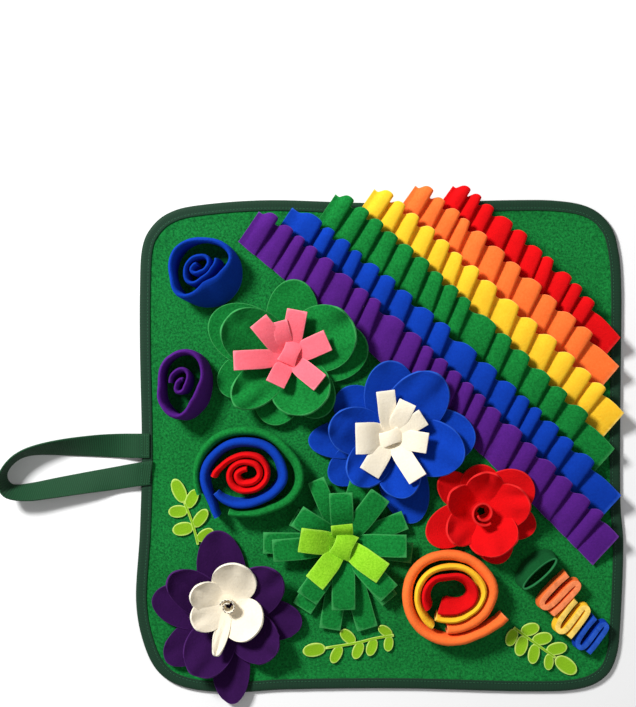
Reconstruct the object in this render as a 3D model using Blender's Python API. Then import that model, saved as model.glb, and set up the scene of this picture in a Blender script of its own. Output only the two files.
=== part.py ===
"""A snuffle mat: a fleece ground with a bound edge, a webbing handle, six pleated ruffles and a
garden of rolled, knotted and petalled fleece flowers.

The tables are in millimetres, and add_object() turns them into metres.  +X is the mat's right,
+Y its top edge, +Z up, and the origin is the middle of the flat underside.
"""
from math import cos, radians, sin, tan

import bpy
from mathutils import Vector

MM = 0.001

# ---------------------------------------------------------------- driving sizes, in mm
PANEL_THICK = 3.0        # the ground, a thick fleece
FLEECE = 2.5             # petals, ruffles and strips
FOLDED = 6.4             # a strip folded double along its rim
WIDE_FOLD = 9.4          # the thickest one, turned over once more
FELT = 1.4               # the leaf sprays
TAPE = 1.0               # binding tape
WEBBING = 1.8            # handle
GAP = 0.35               # between two pieces that touch

BIND_WIDTH = 11.0        # the tape's reach over the mat, above and below
BIND_HEIGHT = 5.3        # over both layers of tape and the ground between them
TAPE_CORNER = 0.8        # the fold's rounding along the top outer edge
STEP_ROOM = 1.5          # from the tape's edge to where the ground steps up
STEP_SLOPE = 3.0         # plan width of that step
GROUND = PANEL_THICK + GAP

GREEN = (0.03, 0.24, 0.06)
DARK_GREEN = (0.01, 0.07, 0.03)
PURPLE = (0.08, 0.01, 0.19)
DARK_PURPLE = (0.05, 0.01, 0.09)
BLUE = (0.0, 0.05, 0.46)
LEAF_GREEN = (0.02, 0.28, 0.05)
YELLOW = (1.0, 0.56, 0.02)
ORANGE = (1.0, 0.2, 0.04)
RED = (0.75, 0.0, 0.01)
PINK = (1.0, 0.16, 0.21)
CREAM = (0.9, 0.85, 0.72)
LIME = (0.3, 0.68, 0.03)

# The mat's outer edge, clockwise from the left side: nearly square, and a little wavy.
OUTLINE = [
    (-247, 161), (-245, 202), (-236, 224), (-217, 240), (-185, 248), (-113, 253), (0, 250),
    (134, 253), (185, 252), (216, 245), (235, 229), (244, 206), (248, 161), (247, 47),
    (247, -56), (250, -102), (247, -179), (243, -215), (230, -238), (201, -250), (144, -252),
    (21, -249), (-93, -250), (-149, -253), (-196, -249), (-225, -235), (-242, -206),
    (-251, -159), (-247, -87), (-245, -4), (-247, 99),
]


# ---------------------------------------------------------------- tools
def polar(angle, radius):
    """A plan vector from an angle in degrees."""
    return Vector((radius * cos(radians(angle)), radius * sin(radians(angle))))


def spline(values, position):
    """A smooth value between table rows (a Catmull-Rom curve); position counts in rows."""
    last = len(values) - 1
    row = min(int(position), last - 1)
    t = position - row
    p0, p1, p2, p3 = (values[min(max(row + k, 0), last)] for k in (-1, 0, 1, 2))
    a = 2 * p1
    b = p2 - p0
    c = 2 * p0 - 5 * p1 + 4 * p2 - p3
    d = 3 * p1 - p0 - 3 * p2 + p3
    return 0.5 * (a + b * t + c * t * t + d * t * t * t)


def colour_material(name, colour, roughness=0.95):
    material = bpy.data.materials.new(name)
    material.use_nodes = True
    shader = material.node_tree.nodes["Principled BSDF"]
    shader.inputs["Base Color"].default_value = (*colour, 1.0)
    shader.inputs["Roughness"].default_value = roughness
    shader.inputs["Metallic"].default_value = 0.0
    return material


def add_object(name, points, faces, colour):
    """An object from points in mm, shaded smooth, with its own material."""
    mesh = bpy.data.meshes.new(name)
    mesh.from_pydata([Vector(point) * MM for point in points], [], faces)
    mesh.materials.append(colour_material(name, colour))
    mesh.shade_smooth()
    mesh.set_sharp_from_angle(angle=radians(50))
    piece = bpy.data.objects.new(name, mesh)
    bpy.context.scene.collection.objects.link(piece)
    return piece


def thicken(piece, thickness):
    """Give a sheet's middle surface its real thickness, half to each side."""
    solid = piece.modifiers.new("Thickness", "SOLIDIFY")
    solid.thickness = thickness * MM
    solid.offset = 0.0
    return piece


def grid_faces(rows, columns, closed=False):
    """Quads over a grid of points that is stored column by column."""
    faces = []
    for column in range(columns if closed else columns - 1):
        here = column * rows
        there = (column + 1) % columns * rows
        for row in range(rows - 1):
            faces.append((here + row, there + row, there + row + 1, here + row + 1))
    return faces


def sheet(name, columns, thickness, colour, closed=False):
    """A cloth sheet on a grid of middle points, one list for each column."""
    points = [point for column in columns for point in column]
    faces = grid_faces(len(columns[0]), len(columns), closed=closed)
    return thicken(add_object(name, points, faces, colour), thickness)


# ---------------------------------------------------------------- ground, binding, handle
def outline_ring(inset, steps=2):
    """The mat's outline as a ring of plan points, moved inward by the inset."""
    count = len(OUTLINE)
    wrapped = [Vector(OUTLINE[k % count]) for k in range(-1, count + 2)]
    ring = [spline(wrapped, 1 + k / steps) for k in range(count * steps)]
    moved = []
    for k, point in enumerate(ring):
        along = (ring[(k + 1) % len(ring)] - ring[k - 1]).normalized()
        moved.append(point + Vector((along.y, -along.x)) * inset)
    return moved


def ring_solid(name, profile, colour, caps=False):
    """Sweep a profile of (inset, height) rows round the outline; caps close it across."""
    rings = [[(*point, height) for point in outline_ring(inset)] for inset, height in profile]
    count = len(rings[0])
    points = [point for ring in rings for point in ring]
    faces = []
    for row in range(len(rings) - (1 if caps else 0)):
        here = row * count
        there = (row + 1) % len(rings) * count
        for k in range(count):
            faces.append((here + k, there + k, there + (k + 1) % count, here + (k + 1) % count))
    if caps:
        faces.append(tuple(range(count)))
        faces.append(tuple((len(rings) - 1) * count + k for k in range(count)[::-1]))
    return add_object(name, points, faces, colour)


def add_ground():
    """The fleece ground; near its edge it steps up over the binding's lower leg."""
    under_tape = TAPE + GAP
    over_tape = BIND_HEIGHT - TAPE - GAP
    step = BIND_WIDTH + STEP_ROOM
    profile = [
        (step + STEP_SLOPE, 0.0),
        (step, under_tape),
        (under_tape, under_tape),
        (under_tape, over_tape),
        (step, over_tape),
        (step + STEP_SLOPE, PANEL_THICK),
    ]
    return ring_solid("mat_panel", profile, GREEN, caps=True)


def add_binding():
    """Tape folded round the edge: a U lying on its side, open towards the mat."""
    top = BIND_HEIGHT
    profile = [
        (BIND_WIDTH, 0.0),
        (0.0, 0.0),
        (0.0, top - TAPE_CORNER),
        (TAPE_CORNER, top),
        (BIND_WIDTH, top),
        (BIND_WIDTH, top - TAPE),
        (TAPE, top - TAPE),
        (TAPE, TAPE),
        (BIND_WIDTH, TAPE),
    ]
    return ring_solid("edge_binding", profile, DARK_GREEN)


# The loop's inner edge: x, y, heading of the webbing's width, its lean from flat, height above
# the floor.  Both ends lie flat on the binding; the far bend stands on edge.
HANDLE_WIDTH = 25.0
ON_BINDING = BIND_HEIGHT + GAP
FLOOR_CLEAR = 0.05       # under the webbing's lower edge
HANDLE = [
    (-236.5, -11.8, 90, 0, ON_BINDING),
    (-246.0, -11.8, 90, 0, ON_BINDING),
    (-251.0, -11.8, 90, 0, ON_BINDING - 0.4),
    (-260.6, -11.8, 90, 4, 2.4),
    (-273.0, -11.6, 92, 12, 0.2),
    (-296.6, -10.3, 92, 30, 0),
    (-320.3, -9.3, 94, 45, 0),
    (-342.0, -8.5, 100, 60, 0),
    (-358.4, -9.1, 112, 72, 0),
    (-370.8, -12.9, 132, 80, 0),
    (-380.0, -20.6, 155, 84, 0),
    (-384.2, -28.8, 180, 84, 0),
    (-382.1, -36.4, 215, 76, 0),
    (-374.9, -40.2, 248, 62, 0),
    (-356.4, -37.8, 261, 48, 0),
    (-332.7, -32.8, 260, 38, 0),
    (-296.6, -25.8, 258, 27, 0),
    (-273.0, -21.4, 258, 13, 0.2),
    (-260.6, -18.9, 260, 5, 2.4),
    (-251.0, -17.0, 262, 0, ON_BINDING - 0.4),
    (-246.0, -16.2, 262, 0, ON_BINDING),
    (-233.0, -14.6, 262, 0, ON_BINDING),
]


def add_handle():
    columns = []
    for x, y, heading, lean, height in HANDLE:
        inner = Vector((x, y, height + WEBBING / 2 + FLOOR_CLEAR))
        flat = polar(heading, cos(radians(lean)) * HANDLE_WIDTH)
        width = Vector((flat.x, flat.y, sin(radians(lean)) * HANDLE_WIDTH))
        columns.append([inner, inner + width])
    return sheet("handle_webbing", columns, WEBBING, DARK_GREEN)


# ---------------------------------------------------------------- ruffles
# All rows run down to the right.  Seams are measured along and across that direction.
ROW_ANGLE = -43.3
RUFFLE_REACH = 39.0      # plan width from the seam to the free edge, between two crests
PLEAT = 21.0             # pleat pitch
TAIL = 25.0              # flat end past the last pleat
TAIL_HEIGHT = 0.3        # how far that end stands up, as a share of a pleat
SEAM_CLEAR = 0.4         # under the sewn edge
# name, along at start, along at end, seam offset at start, at end, bow, pleat lean, colour
RUFFLES = [
    ("ruffle_purple", -250, 242, 53, 61, 8.0, 15, PURPLE),
    ("ruffle_blue", -228, 215, 79, 93, 6.5, 15, BLUE),
    ("ruffle_green", -205, 178, 119, 123, 6.0, 16, LEAF_GREEN),
    ("ruffle_yellow", -180, 160, 150, 156, 2.5, 16, YELLOW),
    ("ruffle_orange", -152, 124, 181, 187, 2.0, 16, ORANGE),
    ("ruffle_red", -124, 105, 207, 209, 6.0, 16, RED),
]
# Across a ruffle: share of the reach, height of the cloth's low line, height of a pleat and how
# far its crest is thrown forward.
RUFFLE_SECTION = [
    (0.0, GROUND + FLEECE / 2 + SEAM_CLEAR, 1.6, 0.0),
    (0.5, 11.5, 5.0, 1.5),
    (1.0, 20.0, 8.0, 4.0),
]
# Along one knife pleat: where, how high, both as shares; it rises slowly and turns under.
PLEAT_SHAPE = [(0.0, 0.0), (0.66, 1.0), (0.94, 0.45)]


def ruffle_stations(length):
    """Positions along a ruffle with the pleat's share of height there."""
    count = round((length - TAIL) / PLEAT)
    pitch = (length - TAIL) / count
    stations = []
    for pleat in range(count):
        for share, height in PLEAT_SHAPE:
            stations.append(((pleat + share) * pitch, height))
    stations.append((length - TAIL, 0.0))
    stations.append((length, TAIL_HEIGHT))
    return stations


def add_ruffle(name, start, end, seam_start, seam_end, bow, lean, colour):
    along = polar(ROW_ANGLE, 1.0)
    across = polar(ROW_ANGLE + 90, 1.0)
    length = end - start
    columns = []
    for distance, height in ruffle_stations(length):
        share = distance / length
        arch = 4 * share * (1 - share)
        seam = seam_start + (seam_end - seam_start) * share + bow * arch
        column = []
        for reach, low, rise, throw in RUFFLE_SECTION:
            place = along * (start + distance - lean * reach * arch)
            place += across * (seam + RUFFLE_REACH * reach + throw * height)
            column.append((place.x, place.y, low + rise * height))
        columns.append(column)
    return sheet(name, columns, FLEECE, colour)


# ---------------------------------------------------------------- petals and knotted strips
ROUND_PETAL = [0.0, 0.8, 1.0, 0.97, 0.64]     # half-width along a petal, as a share
SQUARE_STRIP = [0.0, 0.85, 1.0, 1.0]          # the same for a cut strip
PETAL_ACROSS = 5
STRIP_ACROSS = 3
PETAL_CUP = 1.8          # how far a petal's sides rise
PETAL_ROUNDING = 0.13    # how far its end falls back at the corners, as a share
PETAL_CURVE = 1.3        # how late a petal turns upwards, as a power
HUB_RISE = 0.6           # the middle of a layer over its hub ring
PETAL_PARTING = 1.1      # from a petal's side to the line halfway to the next petal
WIDE_SECTOR = 75.0       # past this half-angle a neighbour can't be reached


def room_beside(far, half_angle):
    """How far a petal may reach sideways, at a distance from the centre, within its sector."""
    return far * tan(radians(min(half_angle, WIDE_SECTOR))) - PETAL_PARTING


def add_layer(name, centre, height, hub, rows, colour, strips=False):
    """Petals or strips that share one hub.

    A row is: angle, reach from the centre, width, lift of the tip, tilt (left side up), hump.
    """
    profile = SQUARE_STRIP if strips else ROUND_PETAL
    across = STRIP_ACROSS if strips else PETAL_ACROSS
    cup = 0.0 if strips else PETAL_CUP
    rounding = 0.0 if strips else PETAL_ROUNDING
    rows = sorted(rows)
    angles = [row[0] for row in rows]
    points = [(*centre, height + HUB_RISE)]
    faces = []
    ring = []
    for k, (angle, reach, width, lift, tilt, hump) in enumerate(rows):
        before = (angle - angles[k - 1]) % 360
        after = (angles[(k + 1) % len(rows)] - angle) % 360
        steps = [-before / 2 + (before + after) / 2 * c / (across - 1) for c in range(across)]
        root = []
        for step in steps[:-1]:
            root.append(len(points))
            points.append((*(Vector(centre) + polar(angle + step, hub)), height))
        ring.append((root, before / 2, after / 2, angle, reach, width, lift, tilt, hump))
    for k, (root, right, left, angle, reach, width, lift, tilt, hump) in enumerate(ring):
        first_of_next = ring[(k + 1) % len(ring)][0][0]
        last_row = root + [first_of_next]
        for c in range(across - 1):
            faces.append((0, last_row[c], last_row[c + 1]))
        out = polar(angle, 1.0)
        side = polar(angle + 90, 1.0)
        for r in range(1, len(profile)):
            s = r / (len(profile) - 1)
            row = []
            for c in range(across):
                t = 2 * c / (across - 1) - 1
                far = hub + (reach - hub) * s * (1 - rounding * t * t)
                half = min(width / 2 * profile[r], room_beside(far, left if t > 0 else right))
                place = Vector(centre) + out * far + side * (t * half)
                rise = lift * s ** PETAL_CURVE + (cup * t * t + tilt * t) * s + hump * 4 * s * (1 - s)
                row.append(len(points))
                points.append((place.x, place.y, height + rise))
            for c in range(across - 1):
                faces.append((last_row[c], row[c], row[c + 1], last_row[c + 1]))
            last_row = row
    return thicken(add_object(name, points, faces, colour), FLEECE)


LOW = GROUND + FLEECE / 2                     # first layer's middle surface
SECOND = LOW + FLEECE + GAP + 0.2             # petals laid on petals
THIRD = SECOND + FLEECE + GAP + 1.6           # the knot or small flower on both
CREAM_HEIGHT = THIRD + 2.0                    # the cream flower rides a little higher

GREEN_FLOWER = (-94.0, 91.0)
BLUE_FLOWER = (10.0, 10.0)
ROSE = (103.0, -66.0)
PURPLE_FLOWER = (-156.0, -175.0)
CREAM_FLOWER = (-155.0, -161.0)
FRINGE_FLOWER = (-38.0, -100.0)

# name, centre, height, hub radius, colour, strips, rows of
# (angle, reach, width, lift, tilt, hump)
LAYERS = [
    ("green_petals_lower", GREEN_FLOWER, LOW, 17, LEAF_GREEN, False, [
        (8, 82, 62, 8, 3, 0), (85, 80, 54, 12, -3, 0), (152, 90, 62, 5, 3, 0),
        (203, 78, 50, 5, 2, 0), (255, 71, 50, 6, 2, 0), (303, 70, 50, 12, 3, 0)]),
    ("green_petals_upper", GREEN_FLOWER, SECOND, 15, LEAF_GREEN, False, [
        (30, 74, 68, 21, 4, 0), (150, 74, 60, 19, 4, 0), (221, 72, 42, 17, 3, 0),
        (292, 60, 62, 22, 3, 0)]),
    ("pink_strips", GREEN_FLOWER, THIRD, 9, PINK, True, [
        (24, 44, 22, 18, 0, 4), (79, 49, 21, 16, 0, 5), (104, 38, 17, 14, 0, 5),
        (129, 48, 21, 16, 0, 5), (183, 55, 20, 17, 0, 4), (244, 30, 20, 18, 0, 5),
        (322, 41, 20, 20, 0, 4)]),
    ("blue_petals_lower", BLUE_FLOWER, LOW, 18, BLUE, False, [
        (0, 86, 60, 15, 4, 0), (90, 78, 54, 14, 2, 0), (139, 70, 50, 3, 1, 0),
        (183, 84, 40, 3, 1, 0), (216, 76, 42, 3, 1, 0), (286, 92, 50, 0, 0.5, 0)]),
    ("blue_petals_upper", BLUE_FLOWER, SECOND, 15, BLUE, False, [
        (52, 80, 58, 24, 3, 0), (170, 64, 50, 15, 3, 0), (230, 60, 44, 16, 2, 0),
        (283, 62, 46, 18, 2, 0), (345, 76, 58, 19, 3, 0)]),
    ("white_strips", BLUE_FLOWER, THIRD, 8, CREAM, True, [
        (33, 39, 18, 15, 0, 4), (65, 40, 18, 15, 0, 5), (97, 48, 19, 14, 0, 4),
        (181, 36, 32, 13, 0, 5), (238, 42, 22, 13, 0, 4), (303, 49, 20, 18, 0, 4),
        (352, 37, 21, 16, 0, 4)]),
    ("rose_petals_lower", ROSE, LOW, 15, RED, False, [
        (34, 60, 50, 16, 3, 0), (92, 48, 42, 8, 3, 0), (139, 56, 36, 11, 2, 0),
        (206, 62, 42, 12, 2, 0), (292, 57, 40, 5, 1, 0), (342, 58, 38, 6, 3, 0)]),
    ("rose_petals_upper", ROSE, SECOND, 12, RED, False, [
        (15, 47, 46, 22, 3, 0), (82, 42, 40, 20, 3, 0), (150, 40, 34, 20, 3, 0),
        (218, 43, 36, 21, 2, 0), (294, 44, 52, 24, 2, 5)]),
    ("purple_petals_lower", PURPLE_FLOWER, LOW, 17, DARK_PURPLE, False, [
        (98, 90, 50, 4, 2, 0), (165, 80, 46, 4, 2, 0), (214, 77, 42, 5, 2, 0),
        (273, 88, 40, 4, 1, 0), (357, 76, 44, 5, 2, 0)]),
    ("purple_petals_upper", PURPLE_FLOWER, SECOND, 15, DARK_PURPLE, False, [
        (43, 72, 50, 17, 3, 0), (141, 74, 42, 15, 3, 0), (238, 64, 50, 15, 3, 0),
        (325, 60, 50, 15, 3, 0)]),
    ("cream_petals", CREAM_FLOWER, CREAM_HEIGHT, 10, CREAM, False, [
        (76, 46, 46, 17, 2, 0), (156, 40, 32, 15, 2, 0), (203, 39, 34, 14, 2, 0),
        (256, 50, 15, 14, 0, 0), (318, 39, 46, 16, 2, 0)]),
    ("fringe_lower", FRINGE_FLOWER, LOW, 22, LEAF_GREEN, True, [
        (22, 68, 20, 7, 0, 2), (75, 66, 22, 9, 0, 2), (113, 72, 18, 8, 0, 7),
        (151, 58, 20, 3, 0, 2), (179, 82, 22, 3, 0, 2), (237, 78, 22, 4, 0, 2),
        (261, 88, 22, 3, 0, 2), (286, 90, 22, 3, 0, 2), (310, 74, 20, 4, 0, 2),
        (353, 71, 21, 5, 0, 2)]),
    ("fringe_upper", FRINGE_FLOWER, SECOND, 18, LEAF_GREEN, True, [
        (0, 64, 23, 12, 0, 5), (54, 64, 23, 11, 0, 4), (93, 54, 24, 11, 0, 5),
        (147, 56, 23, 10, 0, 6), (184, 72, 23, 9, 0, 6), (235, 65, 24, 10, 0, 6),
        (270, 65, 24, 10, 0, 6), (314, 67, 24, 10, 0, 6)]),
    ("lime_strips", FRINGE_FLOWER, THIRD, 9, LIME, True, [
        (95, 22, 22, 9, 0, 5), (171, 45, 25, 12, 0, 5), (231, 47, 22, 12, 0, 5),
        (326, 48, 24, 12, 0, 5)]),
]


# ---------------------------------------------------------------- rolled strips
ROLL_STEP = 20.0         # degrees between two columns
FOOT_CLEAR = 0.1         # under a standing wall's foot


def standing_wall(low, high, height, thickness):
    """Middle points of a wall's foot and rim over two plan points; a leaning foot clears the mat."""
    foot = GROUND + FOOT_CLEAR + thickness / 2 * min((high - low).length / height, 1.0)
    return [(*low, foot), (*high, GROUND + height)]


def add_roll(name, centre, lean, height, thickness, rows, colour):
    """A strip rolled up and standing on its edge; lean moves its rim in plan.

    A row is: angle in degrees, foot radius, rim radius.  Rows that end a full turn past the
    first one, with the same radii, close the strip into a ring.
    """
    closed = rows[-1][0] - rows[0][0] == 360 and rows[-1][1:] == rows[0][1:]
    if closed:
        rows = [(rows[-2][0] - 360, *rows[-2][1:])] + rows + [(rows[1][0] + 360, *rows[1][1:])]
    first = 1 if closed else 0
    last = len(rows) - 1 - first
    steps = round((rows[last][0] - rows[first][0]) / ROLL_STEP)
    columns = []
    for step in range(steps + (0 if closed else 1)):
        angle = rows[first][0] + (rows[last][0] - rows[first][0]) * step / steps
        row = max(k for k in range(len(rows) - 1) if rows[k][0] <= angle)
        position = row + (angle - rows[row][0]) / (rows[row + 1][0] - rows[row][0])
        foot = spline([item[1] for item in rows], position)
        rim = spline([item[2] for item in rows], position)
        low = Vector(centre) + polar(angle, foot)
        high = Vector(centre) + Vector(lean) + polar(angle, rim)
        columns.append(standing_wall(low, high, height, thickness))
    return sheet(name, columns, thickness, colour, closed=closed)


ROLL_A = (-135.0, -27.5)
ROLL_B = (68.0, -150.0)
# name, centre, lean, height, thickness, colour, rows of (angle, foot radius, rim radius)
ROLLS = [
    ("roll_green_outer", ROLL_A, (0, 0), 26, FOLDED, LEAF_GREEN, [
        (243, 41, 43), (270, 39, 40), (305, 41, 42), (335, 48, 51), (360, 50, 54),
        (394, 44, 47), (450, 43, 45), (496, 47, 50), (540, 50, 53), (562, 50, 53)]),
    ("roll_blue_middle", ROLL_A, (0, 0), 27, FOLDED, BLUE, [
        (209, 37, 37), (238, 32, 34), (270, 28, 30), (300, 27, 29), (330, 30, 33),
        (353, 33, 37), (375, 33, 36), (408, 33, 35), (450, 31, 34), (503, 36, 39),
        (540, 42, 45), (565, 43, 45), (580, 45, 47), (594, 52, 53)]),
    ("roll_red_inner", ROLL_A, (0, 0), 28, FOLDED, RED, [
        (100, 5.8, 6.1), (140, 7.2, 7.6), (180, 10.6, 11), (225, 10.2, 10.6), (270, 8, 8.4),
        (315, 9, 9.4), (360, 11.8, 12.2), (405, 12.6, 13), (450, 12.5, 12.9),
        (495, 15.2, 15.6), (540, 18.4, 18.9), (585, 17.8, 18.4), (630, 15.5, 16.2),
        (675, 16.5, 17.2), (720, 19.3, 20), (765, 20.1, 20.8), (810, 19.7, 20.4),
        (850, 21.6, 22.4), (880, 26, 27.5), (903, 33, 35)]),
    ("roll_orange_outer", ROLL_B, (0, 0), 26, WIDE_FOLD, ORANGE, [
        (268, 34, 34), (307, 36, 36.5), (349, 42, 43), (370, 44, 47), (405, 41, 44),
        (450, 39, 42), (495, 40, 43), (540, 39, 42.5), (585, 41, 44), (630, 45, 46),
        (665, 48, 49), (685, 54, 55), (700, 61, 62)]),
    ("roll_yellow_middle", ROLL_B, (0, 0), 27, FOLDED, YELLOW, [
        (240, 23, 26), (270, 22, 25), (317, 24, 28), (350, 30, 34), (370, 33, 37),
        (405, 31, 34), (450, 27, 30), (495, 27, 31), (540, 28, 32), (570, 29.5, 33),
        (603, 33, 35)]),
    ("roll_red_core", ROLL_B, (0, 0), 28, FOLDED, RED, [
        (235, 9, 19), (270, 6, 17), (315, 10, 20), (350, 20, 26.5), (370, 23, 28),
        (405, 20, 25.7), (450, 15, 20.5), (495, 17, 23), (540, 19, 25), (573, 20, 25.4)]),
    ("rosette_blue_cup", (-177.0, 178.0), (-8, 5), 32, FOLDED - 1, BLUE, [
        (21, 33, 35), (81, 33, 27), (141, 33, 28), (199, 33, 28), (238, 33, 34),
        (290, 34, 18), (345, 34, 24), (381, 33, 35)]),
    ("rosette_blue_core", (-181.0, 181.0), (-4, 2), 30, 4.5, BLUE, [
        (120, 3.5, 3.5), (170, 5, 5), (215, 8, 8), (290, 6.5, 5.5), (350, 8, 8),
        (400, 11.5, 13), (450, 12, 10.5), (510, 12, 10.5), (560, 15, 14), (600, 18, 18.5),
        (650, 15, 12), (710, 16, 13.5), (745, 20, 20)]),
    ("rosette_purple_cup", (-197.0, 63.0), (-5, 2), 32, FOLDED - 1, PURPLE, [
        (25, 25, 24), (70, 32, 33), (110, 32, 29), (180, 24, 21), (230, 29, 29),
        (265, 34, 33), (300, 28, 21), (345, 23, 18), (385, 25, 24)]),
    ("rosette_purple_core", (-200.0, 64.0), (-3, 1), 30, 4.5, PURPLE, [
        (60, 4, 5), (120, 3.5, 3), (200, 4, 4), (255, 8.5, 9), (330, 6.5, 5.5),
        (380, 7.5, 7.5), (430, 12, 15), (480, 12.5, 12.5), (535, 11, 10)]),
]


# ---------------------------------------------------------------- folded pockets
POCKET_WALL = 2.5
POCKET_STEP = 24.0       # degrees between two columns
FOOT_SPREAD = 1.06       # a folded pocket's foot over its rim

# name, x, y, axis, foot length, foot width, rim length, rim width, height, lean, colour
POUCHES = [
    ("pocket_green", 159, -125, 42, 48, 26, 44, 10, 20, (2, -3), DARK_GREEN),
]
# name, x, y, axis, length, width, height, wall, lean, colour
FOLDS = [
    ("pocket_orange", 181, -149, 46, 41, 18.5, 15, 4.2, (1, -1), ORANGE),
    ("pocket_yellow", 194, -174, 54, 35, 18.0, 14, 4.1, (1, -1), YELLOW),
    ("pocket_blue", 214, -191, 54, 34, 17.0, 13, 3.9, (1, -1), BLUE),
]
# A cloth folded twice, as shares of half its length and half its width: three legs, two bends.
FOLD_PATH = [
    (-0.96, -0.92), (-0.4, -1.0), (0.3, -1.0), (0.68, -0.98), (0.9, -0.88), (1.0, -0.58),
    (0.9, -0.28), (0.68, -0.19), (0.3, -0.17), (-0.3, -0.16), (-0.68, -0.1), (-0.9, 0.06),
    (-1.0, 0.42), (-0.9, 0.78), (-0.68, 0.94), (-0.3, 1.02), (0.4, 1.02), (0.98, 0.9),
]
FOLD_STEPS = 2           # columns from one row of the path to the next


def add_pouch(name, x, y, axis, foot_long, foot_wide, rim_long, rim_wide, height, lean, colour):
    """A folded square sewn down by its foot, its flattened mouth open upwards."""
    columns = []
    for step in range(round(360 / POCKET_STEP)):
        angle = radians(POCKET_STEP * step)
        ends = []
        for long, wide, shift in ((foot_long, foot_wide, (0, 0)), (rim_long, rim_wide, lean)):
            place = Vector((x, y)) + Vector(shift)
            place += polar(axis, cos(angle) * long / 2)
            place += polar(axis + 90, sin(angle) * wide / 2)
            ends.append(place)
        columns.append(standing_wall(*ends, height, POCKET_WALL))
    return sheet(name, columns, POCKET_WALL, colour, closed=True)


def add_fold(name, x, y, axis, length, width, height, wall, lean, colour):
    """A small cloth folded in three and sewn down on its edge; treats go between its legs."""
    columns = []
    for step in range((len(FOLD_PATH) - 1) * FOLD_STEPS + 1):
        along, across = (spline([row[k] for row in FOLD_PATH], step / FOLD_STEPS)
                         for k in range(2))
        place = polar(axis, along * length / 2) + polar(axis + 90, across * width / 2)
        low = Vector((x, y)) + place * FOOT_SPREAD
        high = Vector((x, y)) + place + Vector(lean)
        columns.append(standing_wall(low, high, height, wall))
    return sheet(name, columns, wall, colour)


# ---------------------------------------------------------------- leaf sprays
STEM_HALF = 1.3
STEM_LOOK = 0.02         # how far each way the stem's direction is read, as a share
LEAF_ROOM = 0.09         # a stem point this near a leaf's root is left out
LEAF_SHAPE = [(0.12, 0.35), (0.34, 0.9), (0.62, 1.0), (0.88, 0.62)]   # share of length, width
# name, stem from root to tip, tip leaf (angle, length, width),
# leaves: share of the stem, side (1 left, -1 right), angle, length, width
SPRAYS = [
    ("leaf_spray_left", [(-187, -101), (-191, -85), (-196, -70), (-201, -58)],
     (114, 27, 14), [
         (0.12, -1, 32, 20, 12), (0.38, -1, 52, 23, 12), (0.38, 1, 190, 22, 14),
         (0.82, -1, 62, 22, 12), (0.76, 1, 184, 20, 13)]),
    ("leaf_spray_middle", [(14, -194), (-5, -197), (-25, -202), (-56, -207)],
     (189, 24, 14), [
         (0.05, -1, 146, 17, 10), (0.1, 1, 262, 16, 10), (0.34, 1, 250, 19, 11),
         (0.58, 1, 246, 19, 11), (0.68, -1, 136, 20, 12), (0.82, 1, 242, 20, 11)]),
    ("leaf_spray_right", [(137, -186), (148, -194), (163, -205), (180, -217)],
     (324, 26, 16), [
         (0.08, -1, 246, 19, 12), (0.24, 1, 20, 20, 13), (0.34, -1, 252, 22, 13),
         (0.52, 1, 14, 21, 13), (0.6, -1, 258, 21, 12), (0.8, 1, 14, 22, 13),
         (0.86, -1, 264, 17, 10)]),
]


def leaf_points(root, angle, length, width, half):
    """A leaf's outline from its right root to its left root, anticlockwise."""
    along = polar(angle, 1.0)
    side = polar(angle + 90, 1.0)
    right = [root - side * half]
    left = [root + side * half]
    for share, wide in LEAF_SHAPE:
        right.append(root + along * (length * share) - side * (width / 2 * wide))
        left.append(root + along * (length * share) + side * (width / 2 * wide))
    return right + [root + along * length] + left[::-1]


def add_spray(name, stem, tip_leaf, leaves, colour):
    """One flat felt piece: up the stem's right side, round the tip leaf and down the left."""
    stem = [Vector(point) for point in stem]
    last = len(stem) - 1

    def on_stem(share):
        return spline(stem, share * last)

    def edge(share, side):
        ahead = on_stem(min(share + STEM_LOOK, 1.0))
        along = (ahead - on_stem(max(share - STEM_LOOK, 0.0))).normalized()
        return on_stem(share) + Vector((-along.y, along.x)) * (STEM_HALF * side)

    outline = []
    for side in (-1, 1):
        stops = [(share / 3, None) for share in range(3)]
        stops += [(leaf[0], leaf) for leaf in leaves if leaf[1] == side]
        stops = [stop for stop in stops if stop[1] or not any(
            abs(stop[0] - leaf[0]) < LEAF_ROOM for leaf in leaves if leaf[1] == side)]
        stops.sort(key=lambda stop: stop[0], reverse=side > 0)
        for share, leaf in stops:
            if leaf is None:
                outline.append(edge(share, side))
            else:
                outline += leaf_points(edge(share, side), leaf[2], leaf[3], leaf[4], STEM_HALF)
        if side < 0:
            outline += leaf_points(on_stem(1.0), *tip_leaf, STEM_HALF)
    middle = GROUND + FELT / 2
    points = [(point.x, point.y, middle) for point in outline]
    return thicken(add_object(name, points, [tuple(range(len(points)))], colour), FELT)


# ---------------------------------------------------------------- hearts
HEART_STEP = 30.0        # degrees between two columns
# name, centre, foot height, start angle, turns, inner radius, outer radius, height, thickness, colour
HEARTS = [
    ("rose_heart", ROSE, SECOND + FLEECE / 2 + GAP + 1.2, 200, 1.3, 6, 12, 22, FLEECE, RED),
    ("cream_heart", CREAM_FLOWER, CREAM_HEIGHT + FLEECE / 2 + GAP + 1.0, 60, 1.3, 3.4, 8, 12,
     1.8, CREAM),
]


def add_heart(name, centre, base, start, turns, inner, outer, height, thickness, colour):
    """A small coil of cloth standing in the middle of a flower."""
    steps = round(turns * 360 / HEART_STEP)
    columns = []
    for step in range(steps + 1):
        share = step / steps
        radius = inner + (outer - inner) * share
        place = Vector(centre) + polar(start + 360 * turns * share, radius)
        columns.append([(*place, base), (*place, base + height)])
    return sheet(name, columns, thickness, colour)


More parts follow.
